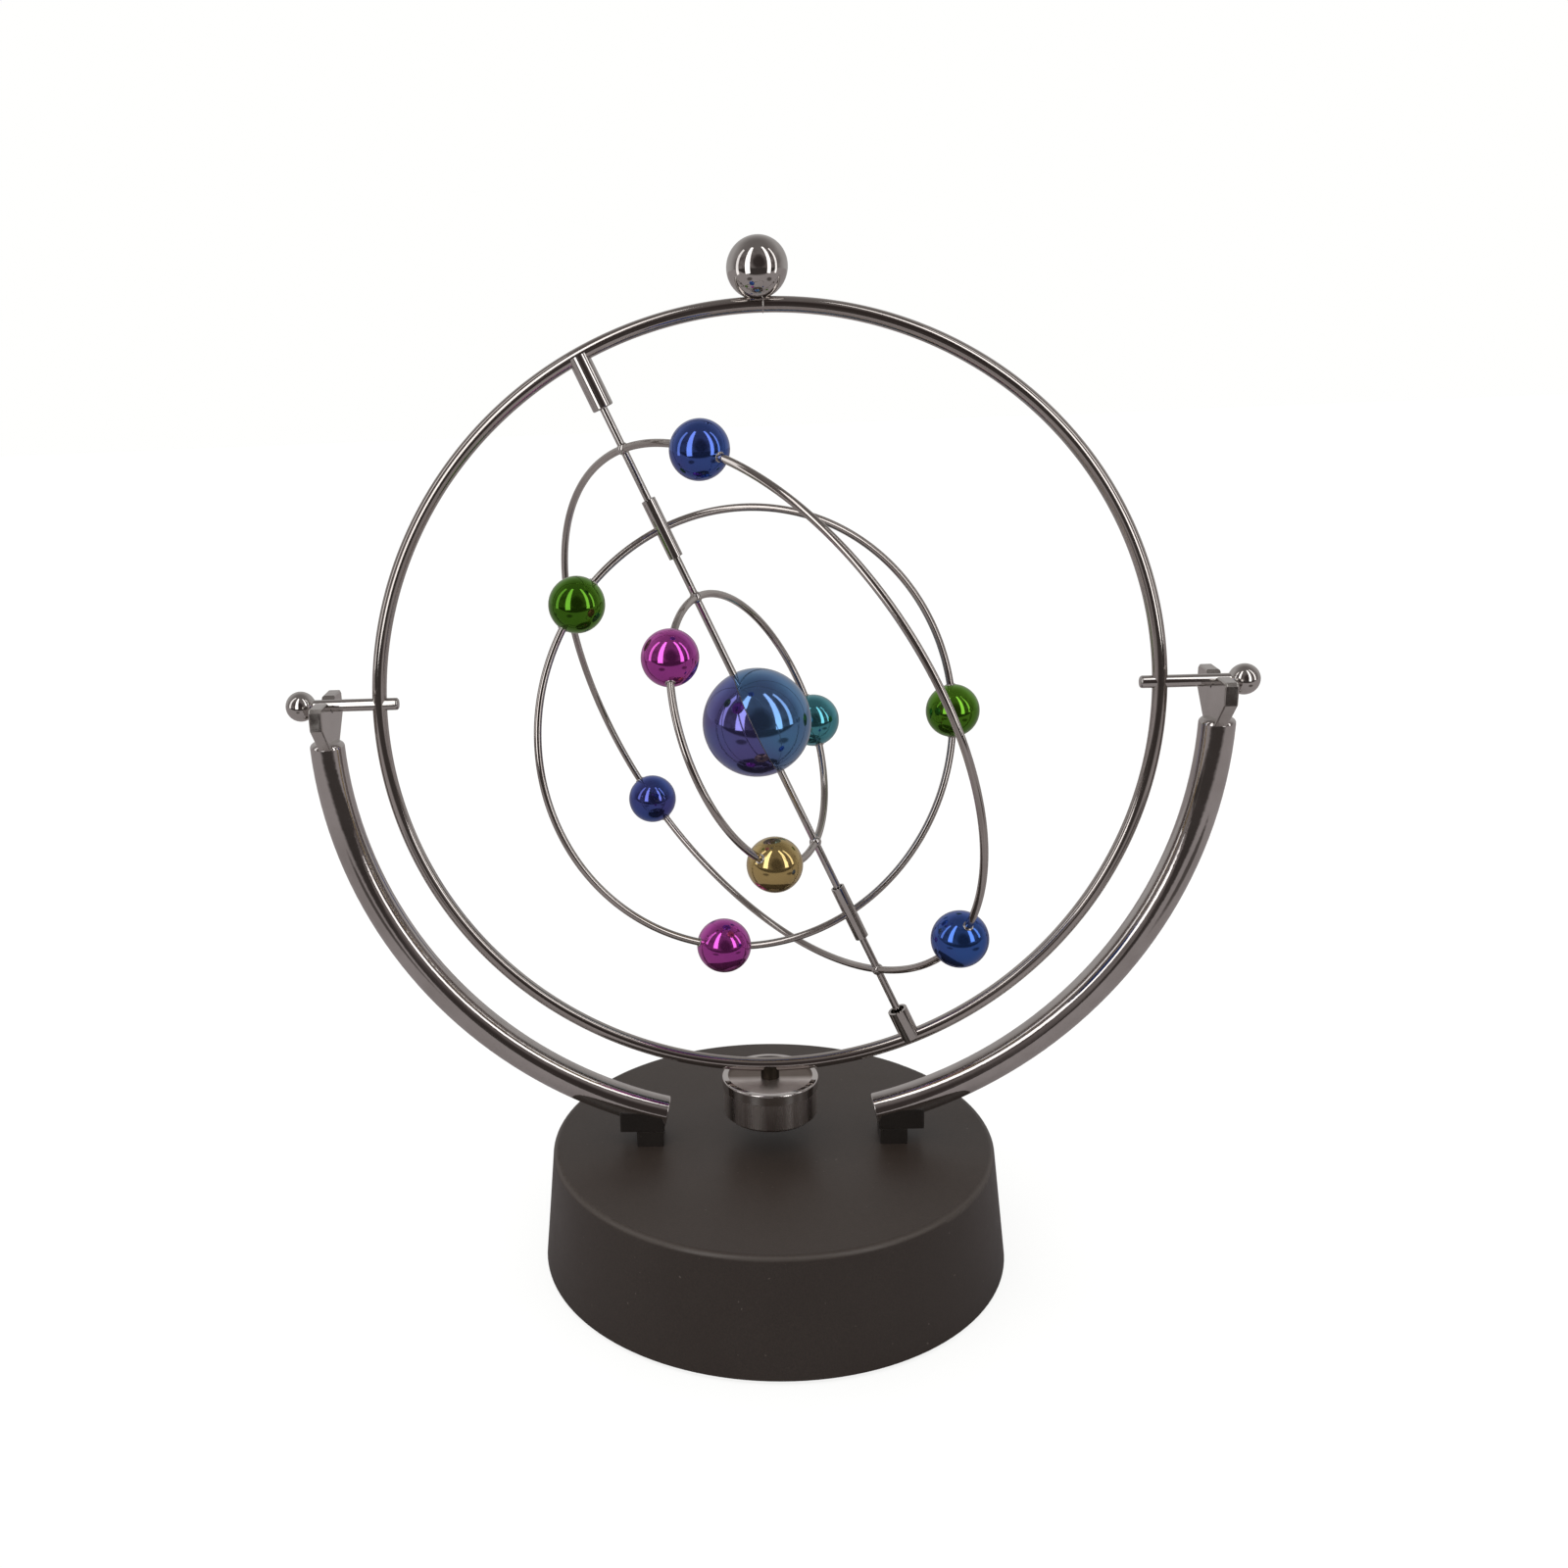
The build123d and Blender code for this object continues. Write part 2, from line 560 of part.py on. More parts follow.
def make_coil_leads():
    """Two leads from the coil's edge up onto the board."""
    leads = Part()
    board_edge = board_x_range()[0]
    low = COIL_BOTTOM_Z + COIL_FLANGE + LEAD_RADIUS
    top = board_top() + LEAD_RADIUS
    land = board_edge + LEAD_LANDING
    for y in COIL_LEAD_PLACES:
        reach = COIL_RADIUS - WINDING_MARGIN
        start = sqrt(reach**2 - y**2) + LEAD_RADIUS
        middle = board_edge - BOARD_COIL_GAP / 2
        points = [(start, y, low), (middle, y, low), (middle, y, top), (land, y, top)]
        leads += make_lead(points)
    return leads


def make_battery_leads():
    """Two leads from the compartment's end walls to the board."""
    leads = Part()
    x = sum(board_x_range()) / 2
    wall = BAY_HALF_LENGTH + BOX_WALL + LEAD_RADIUS
    top = board_top() + LEAD_RADIUS
    for end in (-1, 1):
        land = end * (BOARD_LENGTH / 2 - LEAD_LANDING)
        points = [(x, end * wall, CELL_Z), (x, end * wall, top), (x, land, top)]
        leads += make_lead(points)
    return leads


def make_stand_base():
    """Everything in the base, as name and shape."""
    nodes = {
        "top_shell": make_top_shell(),
        "base_cover": make_base_cover(),
        "foot_ring": make_foot_ring(),
        "cover_screws": make_cover_screws(),
        "battery_door": make_battery_door(),
        "contact_plates": make_contact_plates(),
        "contact_springs": make_contact_springs(),
        "coil_bobbin": make_coil_bobbin(),
        "coil_winding": make_coil_winding(),
        "coil_core": disc(COIL_CORE_RADIUS, COIL_BOTTOM_Z, COIL_TOP_Z),
        "circuit_board": make_circuit_board(),
        "transistor": make_transistor(),
        "capacitor": make_capacitor(),
        "resistor": make_resistor(),
        "coil_leads": make_coil_leads(),
        "battery_leads": make_battery_leads(),
    }
    for index, (x, button) in enumerate(cell_places(), start=1):
        nodes[f"battery_cell_{index}"] = make_cell(x, button)
    return nodes


# ---------------------------------------------------------- arms and supports
def arm_point(angle):
    """Point on the right arm's centre line, by angle round from straight down."""
    x = ARM_RADIUS * sin(radians(angle))
    return Vector(x, 0, ARM_CENTRE_Z - ARM_RADIUS * cos(radians(angle)))


def arm_head():
    """Middle of the arm's upper end."""
    return arm_point(ARM_TOP_ANGLE)


def make_arm_blank():
    """Right arm as a bent round bar with rounded ends, before any hole."""
    start_angle = degrees(asin(ARM_INNER_X / ARM_RADIUS))
    middle = arm_point((start_angle + ARM_TOP_ANGLE) / 2)
    path = ThreePointArc(arm_point(start_angle), middle, arm_head())
    section = Plane(origin=path @ 0, z_dir=path % 0) * Circle(ARM_ROD_RADIUS)
    bar = sweep(section, path=path)
    ends = bar.edges().filter_by(GeomType.CIRCLE).sort_by(Axis.X)
    bar = fillet(ends[-1], ARM_TOP_ROUND)
    ends = bar.edges().filter_by(GeomType.CIRCLE).sort_by(Axis.X)
    return fillet(ends[0], ARM_FOOT_ROUND)


def arm_screw_tip():
    """Top of the screw in the arm."""
    underside = ARM_CENTRE_Z - sqrt((ARM_RADIUS + ARM_ROD_RADIUS) ** 2 - ARM_SCREW_X**2)
    return underside + ARM_SCREW_BITE


def make_arm(blank):
    """Right arm, drilled for its screw and for the fork's spigot."""
    arm = blank - disc(ARM_SCREW_RADIUS, BASE_HEIGHT, arm_screw_tip(), ARM_SCREW_X)
    head = arm_head().Z
    spigot_floor = head - FORK_SPIGOT_LENGTH
    return arm - disc(FORK_SPIGOT_RADIUS, spigot_floor, PIVOT_Z, FORK_X)


def make_fork(blank):
    """Right fork: a flat plate with a V notch under the pin, on a round spigot."""
    foot = arm_head().Z - FORK_SADDLE
    shoulder = arm_head().Z + FORK_SHOULDER
    top = PIVOT_Z + FORK_HEAD_OVER_PIVOT
    half_foot = FORK_FOOT_WIDTH / 2
    half = FORK_WIDTH / 2
    outline = Polyline(
        (-half_foot, foot),
        (half_foot, foot),
        (half, shoulder),
        (half, top - FORK_CHAMFER),
        (half - FORK_CHAMFER, top),
        (-half + FORK_CHAMFER, top),
        (-half, top - FORK_CHAMFER),
        (-half, shoulder),
        close=True,
    )
    plate = extrude(Plane.YZ * make_face(outline), FORK_THICKNESS / 2, both=True)
    plate = fillet(plate.edges().filter_by(Plane.YZ), FORK_EDGE_ROUND)
    plate = Pos(FORK_X, 0, 0) * plate
    seat = (PIN_RADIUS + PIVOT_CLEARANCE) / sin(radians(NOTCH_HALF_ANGLE))
    rise = seat + 2 * FORK_HEAD_OVER_PIVOT
    spread = rise * tan(radians(NOTCH_HALF_ANGLE))
    notch = Polyline(
        (0, PIVOT_Z - seat),
        (spread, PIVOT_Z - seat + rise),
        (-spread, PIVOT_Z - seat + rise),
        close=True,
    )
    plate -= Pos(FORK_X, 0, 0) * extrude(Plane.YZ * make_face(notch), FORK_WIDTH, both=True)
    plate -= blank
    spigot_floor = arm_head().Z - FORK_SPIGOT_LENGTH
    spigot_top = arm_head().Z + FORK_SPIGOT_RISE
    return plate + disc(FORK_SPIGOT_RADIUS, spigot_floor, spigot_top, FORK_X)


def make_post(blank):
    """Right post: a saddle block under the arm on a narrower stem."""
    stem_top = BASE_HEIGHT + POST_STEM_HEIGHT
    stem = block(
        (STEM_X, STEM_X + POST_STEM_LENGTH),
        (-POST_STEM_WIDTH / 2, POST_STEM_WIDTH / 2),
        (BASE_HEIGHT, stem_top),
    )
    outer_angle = degrees(asin((POST_X + POST_BLOCK_LENGTH) / ARM_RADIUS))
    saddle_top = arm_point(outer_angle).Z - POST_SADDLE_DROP
    saddle = block(
        (POST_X, POST_X + POST_BLOCK_LENGTH),
        (-POST_BLOCK_WIDTH / 2, POST_BLOCK_WIDTH / 2),
        (stem_top, saddle_top),
    )
    stem = fillet(stem.edges().filter_by(Axis.Z), POST_EDGE_ROUND)
    saddle = fillet(saddle.edges().filter_by(Axis.Z), POST_EDGE_ROUND)
    trimming = hoop(Vector(0, 0, ARM_CENTRE_Z), BACK, ARM_RADIUS, ARM_ROD_RADIUS)
    post = stem + saddle - trimming - inside_arms()
    return post - disc(ARM_SCREW_RADIUS + SCREW_HOLE_GAP, BASE_HEIGHT, saddle_top, ARM_SCREW_X)


def inside_arms():
    """Space inside the arms' circle, where a post never reaches."""
    centre = Vector(0, 0, ARM_CENTRE_Z)
    return Plane(origin=centre, z_dir=BACK) * Cylinder(ARM_RADIUS, 2 * POST_STEM_WIDTH)


def make_arm_screws():
    """Two machine screws from inside the base up into the arms."""
    screws = Part()
    for _, side in SIDES:
        x = side * ARM_SCREW_X
        screw = disc(ARM_SCREW_RADIUS, ROOF_Z, arm_screw_tip(), x)
        screws += screw + disc(ARM_SCREW_HEAD_RADIUS, ROOF_Z - ARM_SCREW_HEAD_HEIGHT, ROOF_Z, x)
    return screws


def make_supports():
    """Both arms with their forks, posts and screws."""
    nodes = {"arm_screws": make_arm_screws()}
    blank = make_arm_blank()
    for name, side in SIDES:
        nodes[f"{name}_arm"] = mirrored(make_arm(blank), side)
        nodes[f"{name}_fork"] = mirrored(make_fork(blank), side)
        nodes[f"{name}_post"] = mirrored(make_post(blank), side)
    return nodes


# ------------------------------------------------------ ring, pins and magnet
def make_ring():
    """Hoop of round wire, upright in the XZ plane."""
    return hoop(RING_CENTRE, BACK, RING_RADIUS, RING_WIRE_RADIUS)


def make_pins(ring):
    """Pins welded to the ring: a shaft outside it and a stub inside, with end balls."""
    nodes = {}
    wire_x = sqrt(RING_RADIUS**2 - RING_DROP**2)
    for name, side in SIDES:
        inner = Vector(side * (wire_x - PIN_INNER_REACH), 0, PIVOT_Z)
        at_wire = Vector(side * wire_x, 0, PIVOT_Z)
        outer = Vector(side * PIN_BALL_X, 0, PIVOT_Z)
        shaft = rod_between(at_wire, outer, PIN_RADIUS) - ring
        stub = rod_between(inner, at_wire, PIN_RADIUS) - ring
        rim = stub.edges().filter_by(GeomType.CIRCLE).sort_by(Axis.X)
        stub = fillet(rim[0] if side > 0 else rim[-1], PIN_END_ROUND)
        nodes[f"{name}_pin"] = shaft
        nodes[f"{name}_pin_stub"] = stub
        nodes[f"{name}_pin_ball"] = ball(outer, PIN_BALL_RADIUS) - shaft
    return nodes


def make_cups(ring):
    """Upper and lower bearing cups, welded inside the ring and bored for the axle."""
    upper = rod_between(along_axle(UPPER_WIRE), along_axle(UPPER_MOUTH), CUP_RADIUS) - ring
    mouth = upper.edges().filter_by(GeomType.CIRCLE).sort_by_distance(along_axle(UPPER_MOUTH))[0]
    upper = fillet(mouth, CUP_MOUTH_ROUND)
    end = along_axle(UPPER_MOUTH - UPPER_BORE_DEPTH)
    upper -= rod_between(end, along_axle(UPPER_MOUTH), BEARING_BORE)
    lower = rod_between(along_axle(LOWER_MOUTH), along_axle(LOWER_WIRE), CUP_RADIUS) - ring
    floor = LOWER_MOUTH + LOWER_MOUTH_DEPTH
    lower -= rod_between(along_axle(LOWER_MOUTH), along_axle(floor), LOWER_MOUTH_RADIUS)
    lower -= rod_between(along_axle(floor), along_axle(floor + LOWER_SEAT_DEPTH), BEARING_BORE)
    return {"upper_cup": upper, "lower_cup": lower}


def make_magnet_group(ring):
    """Neck, cap, cup and magnet that hang under the ring."""
    lip_z = RING_BOTTOM_Z - NECK_LENGTH
    seam_z = lip_z - MAGNET_CAP_HEIGHT
    floor_z = lip_z - MAGNET_LIP_DEPTH
    spigot_z = seam_z - MAGNET_SPIGOT_DEPTH
    bottom_z = seam_z - MAGNET_SHELL_HEIGHT
    bore = MAGNET_SHELL_RADIUS - MAGNET_SHELL_WALL

    cap = disc(MAGNET_CAP_RADIUS, seam_z, lip_z)
    cap = fillet(cap.edges().filter_by(GeomType.CIRCLE).sort_by(Axis.Z)[-1], MAGNET_LIP_ROUND)
    cap -= disc(MAGNET_CAP_RADIUS - MAGNET_LIP_WIDTH, floor_z, lip_z)
    cap += disc(bore - MAGNET_GAP, spigot_z, seam_z)
    cap -= disc(NECK_TENON_RADIUS, spigot_z, floor_z)

    shell = disc(MAGNET_SHELL_RADIUS, bottom_z, seam_z)
    shell = chamfer(shell.edges().filter_by(GeomType.CIRCLE).sort_by(Axis.Z)[0], MAGNET_SHELL_BEVEL)
    shell -= disc(bore, bottom_z + MAGNET_SHELL_WALL, seam_z)

    neck = disc(NECK_RADIUS, floor_z, RING_BOTTOM_Z + RING_WIRE_RADIUS) - ring
    neck += disc(NECK_TENON_RADIUS, spigot_z, floor_z)
    magnet = disc(bore - MAGNET_GAP, bottom_z + MAGNET_SHELL_WALL, spigot_z)
    return {"magnet_neck": neck, "magnet_cap": cap, "magnet_shell": shell, "magnet": magnet}


def make_ring_group():
    """The swinging ring and all that is welded to it."""
    ring = make_ring()
    top_z = RING_CENTRE_Z + RING_RADIUS + RING_WIRE_RADIUS + TOP_BALL_RADIUS - TOP_BALL_SEAT
    nodes = {"ring": ring, "top_ball": ball(Vector(0, 0, top_z), TOP_BALL_RADIUS) - ring}
    nodes.update(make_pins(ring))
    nodes.update(make_cups(ring))
    nodes.update(make_magnet_group(ring))
    return nodes


# ------------------------------------------------------- axle, orbits and balls
def orbit_frame(shift, side, turn):
    """An orbit's centre and its in-plane side direction, from its turn about the axle."""
    sideways = AXLE_SIDE * cos(radians(turn)) + BACK * sin(radians(turn))
    return along_axle(shift) + sideways * side, sideways


def orbit_hoop(radius, shift, side, turn):
    """The whole wire of an orbit."""
    centre, sideways = orbit_frame(shift, side, turn)
    return hoop(centre, AXLE_DIRECTION.cross(sideways), radius, ORBIT_WIRE_RADIUS)


def orbit_crossings(radius, shift, side):
    """Where an orbit meets the axle, measured down it from the big ball."""
    reach = sqrt(radius**2 - side**2)
    return shift - reach, shift + reach


def orbit_balls(name, radius, shift, side, turn, angles, wire):
    """Balls threaded on an orbit, at angles round from the axle's lower end."""
    centre, sideways = orbit_frame(shift, side, turn)
    nodes = {}
    for index, angle in enumerate(angles, start=1):
        along = AXLE_DIRECTION * (radius * cos(radians(angle)))
        across = sideways * (radius * sin(radians(angle)))
        nodes[f"{name}_ball_{index}"] = ball(centre + along + across, BALL_RADIUS) - wire
    return nodes


def axle_ends():
    """Upper and lower ends of the axle, along it from the big ball."""
    upper = UPPER_MOUTH - UPPER_BORE_DEPTH + AXLE_END_GAP
    lower = LOWER_MOUTH + LOWER_MOUTH_DEPTH + LOWER_SEAT_DEPTH - AXLE_TIP_GAP
    return upper, lower


def make_axle_rod():
    """Straight rod with a chamfered lower tip."""
    upper, lower = axle_ends()
    rod = rod_between(along_axle(upper), along_axle(lower), AXLE_RADIUS)
    tip = rod.edges().filter_by(GeomType.CIRCLE).sort_by_distance(along_axle(lower))[0]
    return chamfer(tip, AXLE_TIP_CHAMFER)


def make_welded_orbit(radius, shift, side, turn, rod):
    """Orbit wire with a weld bead at each crossing, pierced by the axle."""
    orbit = orbit_hoop(radius, shift, side, turn)
    for crossing in orbit_crossings(radius, shift, side):
        orbit += ball(along_axle(crossing), WELD_RADIUS)
    return orbit - rod


def make_big_ball(rod):
    """Two thin half shells, parted in a plane that holds the axle."""
    shell = ball(BALL_CENTRE, BIG_BALL_RADIUS) - ball(BALL_CENTRE, BIG_BALL_RADIUS - BIG_BALL_WALL)
    shell -= rod
    turn = radians(BIG_BALL_TURN)
    normal = AXLE_SIDE * cos(turn) + BACK * sin(turn)
    parting = Plane(origin=BALL_CENTRE, x_dir=AXLE_DIRECTION, z_dir=normal)
    halves = split(shell, bisect_by=parting, keep=Keep.BOTH).solids()
    halves = halves.sort_by(Axis.X)
    return {"big_ball_left": halves[0], "big_ball_right": halves[-1]}


def make_axle_group():
    """Axle with the outer and inner orbits, their balls and the big ball."""
    rod = make_axle_rod()
    nodes = {"axle_rod": rod}
    nodes.update(make_big_ball(rod))
    outer = (OUTER_RADIUS, OUTER_SHIFT, OUTER_SIDE, OUTER_TURN)
    inner = (INNER_RADIUS, INNER_SHIFT, INNER_SIDE, INNER_TURN)
    orbits = (("outer", outer, OUTER_BALL_ANGLES), ("inner", inner, INNER_BALL_ANGLES))
    for name, sizes, angles in orbits:
        nodes[f"{name}_orbit"] = make_welded_orbit(*sizes, rod)
        nodes.update(orbit_balls(name, *sizes, angles, orbit_hoop(*sizes)))
    return nodes


def make_middle_group():
    """Middle orbit, soldered to two sleeves that turn on the axle on friction bushes."""
    sizes = (MIDDLE_RADIUS, MIDDLE_SHIFT, MIDDLE_SIDE, MIDDLE_TURN)
    wire = orbit_hoop(*sizes)
    nodes = orbit_balls("middle", *sizes, MIDDLE_BALL_ANGLES, wire)
    bushes = Part()
    orbit = wire
    crossings = orbit_crossings(MIDDLE_RADIUS, MIDDLE_SHIFT, MIDDLE_SIDE)
    for name, crossing in zip(("upper", "lower"), crossings):
        ends = [along_axle(crossing + end * SLEEVE_LENGTH / 2) for end in (-1, 1)]
        bush_ends = [along_axle(crossing + end * BUSH_LENGTH / 2) for end in (-1, 1)]
        orbit -= rod_between(*ends, SLEEVE_RADIUS)
        tube = rod_between(*ends, SLEEVE_RADIUS) - rod_between(*ends, SLEEVE_BORE_RADIUS)
        nodes[f"{name}_sleeve"] = tube
        bush = rod_between(*bush_ends, SLEEVE_BORE_RADIUS)
        bushes += bush - rod_between(*bush_ends, BEARING_BORE)
    nodes["middle_orbit"] = orbit
    nodes["sleeve_bushes"] = bushes
    return nodes


def main():
    """Build every node and write it."""
    os.makedirs("parts", exist_ok=True)
    makers = (make_stand_base, make_supports, make_ring_group, make_axle_group, make_middle_group)
    groups = [maker() for maker in makers]
    for group in groups:
        for name, shape in group.items():
            save(name, shape)


main()
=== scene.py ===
from math import asin, cos, pi, radians, sin

import bpy
from mathutils import Matrix, Vector


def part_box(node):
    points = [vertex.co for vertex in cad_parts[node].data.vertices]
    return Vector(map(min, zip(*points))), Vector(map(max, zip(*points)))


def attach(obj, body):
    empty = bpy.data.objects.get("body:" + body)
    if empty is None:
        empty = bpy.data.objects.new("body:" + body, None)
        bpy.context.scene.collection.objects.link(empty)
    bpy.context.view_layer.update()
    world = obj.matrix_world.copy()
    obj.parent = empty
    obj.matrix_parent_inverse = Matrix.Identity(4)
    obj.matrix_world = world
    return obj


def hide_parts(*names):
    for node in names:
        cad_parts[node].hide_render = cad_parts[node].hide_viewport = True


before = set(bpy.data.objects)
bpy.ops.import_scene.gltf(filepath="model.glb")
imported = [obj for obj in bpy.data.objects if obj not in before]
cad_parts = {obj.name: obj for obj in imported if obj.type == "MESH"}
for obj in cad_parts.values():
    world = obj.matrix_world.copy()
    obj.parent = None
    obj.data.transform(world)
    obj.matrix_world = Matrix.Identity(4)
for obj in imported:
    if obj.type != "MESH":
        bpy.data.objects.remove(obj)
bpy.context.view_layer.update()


# ---- Casing -----------------------------------------------------------------
# The cup-shaped top shell and the round cover under it are injection moulded in
# dark brown-black ABS.  The tool was spark eroded, so the skin has a fine even
# grain that dulls the shine; the cover is the same plastic.
CASING_COLOUR = (0.026, 0.0185, 0.0145)


def start_material(name):
    """New material, its node tree and its Principled shader."""
    material = bpy.data.materials.new(name)
    material.use_nodes = True
    tree = material.node_tree
    return material, tree, tree.nodes["Principled BSDF"]


def start_group(name, inputs, outputs):
    """New shader node group with named sockets, and its input and output nodes."""
    group = bpy.data.node_groups.new(name, "ShaderNodeTree")
    for label, kind, value in inputs:
        socket = group.interface.new_socket(label, in_out="INPUT", socket_type=kind)
        socket.default_value = value
    for label, kind in outputs:
        group.interface.new_socket(label, in_out="OUTPUT", socket_type=kind)
    return group, group.nodes.new("NodeGroupInput"), group.nodes.new("NodeGroupOutput")


def place_group(tree, group, **values):
    """The group as a node in a material, with its own values."""
    node = tree.nodes.new("ShaderNodeGroup")
    node.node_tree = group
    for label, value in values.items():
        node.inputs[label.replace("_", " ")].default_value = value
    return node


def add_noise(tree, scale, detail, roughness, source):
    """Noise texture on a coordinate socket."""
    noise = tree.nodes.new("ShaderNodeTexNoise")
    noise.inputs["Scale"].default_value = scale
    noise.inputs["Detail"].default_value = detail
    noise.inputs["Roughness"].default_value = roughness
    tree.links.new(source, noise.inputs["Vector"])
    return noise.outputs["Fac"]


def spread(tree, value, low, high, new_low, new_high):
    """Value moved from one range to another, and kept inside it."""
    node = tree.nodes.new("ShaderNodeMapRange")
    node.clamp = True
    limits = (("From Min", low), ("From Max", high), ("To Min", new_low), ("To Max", new_high))
    for label, limit in limits:
        if isinstance(limit, bpy.types.NodeSocket):
            tree.links.new(limit, node.inputs[label])
        else:
            node.inputs[label].default_value = limit
    tree.links.new(value, node.inputs["Value"])
    return node.outputs["Result"]


def blend_colours(tree, share, first, second, way="MIX"):
    """Mix of two colours, given as sockets or as values."""
    node = tree.nodes.new("ShaderNodeMix")
    node.data_type = "RGBA"
    node.blend_type = way
    for socket, given in ((node.inputs[0], share), (node.inputs[6], first), (node.inputs[7], second)):
        if isinstance(given, bpy.types.NodeSocket):
            tree.links.new(given, socket)
        elif isinstance(given, tuple):
            socket.default_value = (*given, 1.0)
        else:
            socket.default_value = given
    return node.outputs[2]


def calculate(tree, operation, first, second):
    """Math node on two sockets or numbers."""
    node = tree.nodes.new("ShaderNodeMath")
    node.operation = operation
    for socket, given in zip(node.inputs, (first, second)):
        if isinstance(given, bpy.types.NodeSocket):
            tree.links.new(given, socket)
        else:
            socket.default_value = given
    return node.outputs["Value"]


def object_place(tree):
    """Object coordinates of a node tree."""
    return tree.nodes.new("ShaderNodeTexCoord").outputs["Object"]


def add_bump(tree, height, depth):
    """Normal from a height, with its depth in metres."""
    bump = tree.nodes.new("ShaderNodeBump")
    bump.inputs["Strength"].default_value = 1.0
    bump.inputs["Distance"].default_value = depth
    tree.links.new(height, bump.inputs["Height"])
    return bump.outputs["Normal"]


# Spark-eroded skin: fine grain, faint cloudiness and a few specks of dust.
moulded_skin, skin_in, skin_out = start_group(
    "moulded skin",
    [("Colour", "NodeSocketColor", (0.04, 0.03, 0.025, 1.0)),
     ("Grain Scale", "NodeSocketFloat", 2600.0),
     ("Gloss Low", "NodeSocketFloat", 0.40),
     ("Gloss High", "NodeSocketFloat", 0.52),
     ("Dust", "NodeSocketFloat", 0.5)],
    [("Color", "NodeSocketColor"), ("Roughness", "NodeSocketFloat"), ("Height", "NodeSocketFloat")],
)
skin_place = object_place(moulded_skin)
grain = moulded_skin.nodes.new("ShaderNodeTexNoise")
grain.inputs["Detail"].default_value = 3.0
moulded_skin.links.new(skin_place, grain.inputs["Vector"])
moulded_skin.links.new(skin_in.outputs["Grain Scale"], grain.inputs["Scale"])
cloud = add_noise(moulded_skin, 38.0, 4.0, 0.6, skin_place)
speck = add_noise(moulded_skin, 900.0, 1.0, 0.4, skin_place)
speck_mask = spread(moulded_skin, speck, 0.785, 0.81, 0.0, skin_in.outputs["Dust"])
clouded = blend_colours(
    moulded_skin, spread(moulded_skin, cloud, 0.3, 0.7, 0.0, 0.22),
    skin_in.outputs["Colour"], (0.050, 0.039, 0.032),
)
shaded = blend_colours(
    moulded_skin, spread(moulded_skin, grain.outputs["Fac"], 0.35, 0.65, 0.35, 0.0),
    clouded, (0.010, 0.0075, 0.006),
)
dusty = blend_colours(moulded_skin, speck_mask, shaded, (0.20, 0.17, 0.15))
moulded_skin.links.new(dusty, skin_out.inputs["Color"])
moulded_skin.links.new(
    spread(moulded_skin, cloud, 0.3, 0.7, skin_in.outputs["Gloss Low"], skin_in.outputs["Gloss High"]),
    skin_out.inputs["Roughness"],
)
moulded_skin.links.new(grain.outputs["Fac"], skin_out.inputs["Height"])


def make_moulded(name, colour, grain_scale, gloss, dust, depth):
    """Moulded plastic with the eroded skin."""
    material, tree, shader = start_material(name)
    skin = place_group(
        tree, moulded_skin, Colour=(*colour, 1.0), Grain_Scale=grain_scale,
        Gloss_Low=gloss[0], Gloss_High=gloss[1], Dust=dust,
    )
    tree.links.new(skin.outputs["Color"], shader.inputs["Base Color"])
    tree.links.new(skin.outputs["Roughness"], shader.inputs["Roughness"])
    tree.links.new(add_bump(tree, skin.outputs["Height"], depth), shader.inputs["Normal"])
    shader.inputs["IOR"].default_value = 1.5
    return material


def dress(material, *nodes):
    """Gives CAD nodes their material."""
    for name in nodes:
        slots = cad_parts[name].data.materials
        slots.clear()
        slots.append(material)


CASING_SKIN = {"colour": CASING_COLOUR, "grain_scale": 2600.0, "gloss": (0.36, 0.47), "dust": 0.3,
               "depth": 0.000016}
casing_plastic = make_moulded("casing plastic", **CASING_SKIN)
dress(casing_plastic, "base_cover", "battery_door")

# The shell's rounded top edge carries a painted highlight: the fillet is coloured paler, and it is also a
# little smoother.
EDGE_HIGHLIGHT_COLOUR = (0.065, 0.053, 0.045)
EDGE_HIGHLIGHT_SHARE = 0.40
FILLET_POLISH = 0.06
shell_plastic = make_moulded("shell plastic", **CASING_SKIN)
shell_tree = shell_plastic.node_tree
shell_shader = shell_tree.nodes["Principled BSDF"]
shell_normal = shell_tree.nodes.new("ShaderNodeSeparateXYZ")
shell_tree.links.new(
    shell_tree.nodes.new("ShaderNodeTexCoord").outputs["Normal"], shell_normal.inputs["Vector"])
# Mask of the rounded fillet between side and top, for the painted highlight and the smoother finish.
fillet_highlight_and_polish = calculate(
    shell_tree, "MULTIPLY", spread(shell_tree, shell_normal.outputs["Z"], 0.30, 0.55, 0.0, 1.0),
    spread(shell_tree, shell_normal.outputs["Z"], 0.80, 0.985, 1.0, 0.0))
shell_colour = shell_shader.inputs["Base Color"].links[0].from_socket
shell_gloss = shell_shader.inputs["Roughness"].links[0].from_socket
edge_highlight_share = calculate(shell_tree, "MULTIPLY", fillet_highlight_and_polish, EDGE_HIGHLIGHT_SHARE)
fillet_polish = calculate(shell_tree, "MULTIPLY", fillet_highlight_and_polish, FILLET_POLISH)
# The paler colour on the fillet is a painted highlight; the roughness there is lowered too.
shell_tree.links.new(
    blend_colours(shell_tree, edge_highlight_share, shell_colour, EDGE_HIGHLIGHT_COLOUR), shell_shader.inputs["Base Color"])
shell_tree.links.new(
    calculate(shell_tree, "SUBTRACT", shell_gloss, fillet_polish), shell_shader.inputs["Roughness"])
dress(shell_plastic, "top_shell")


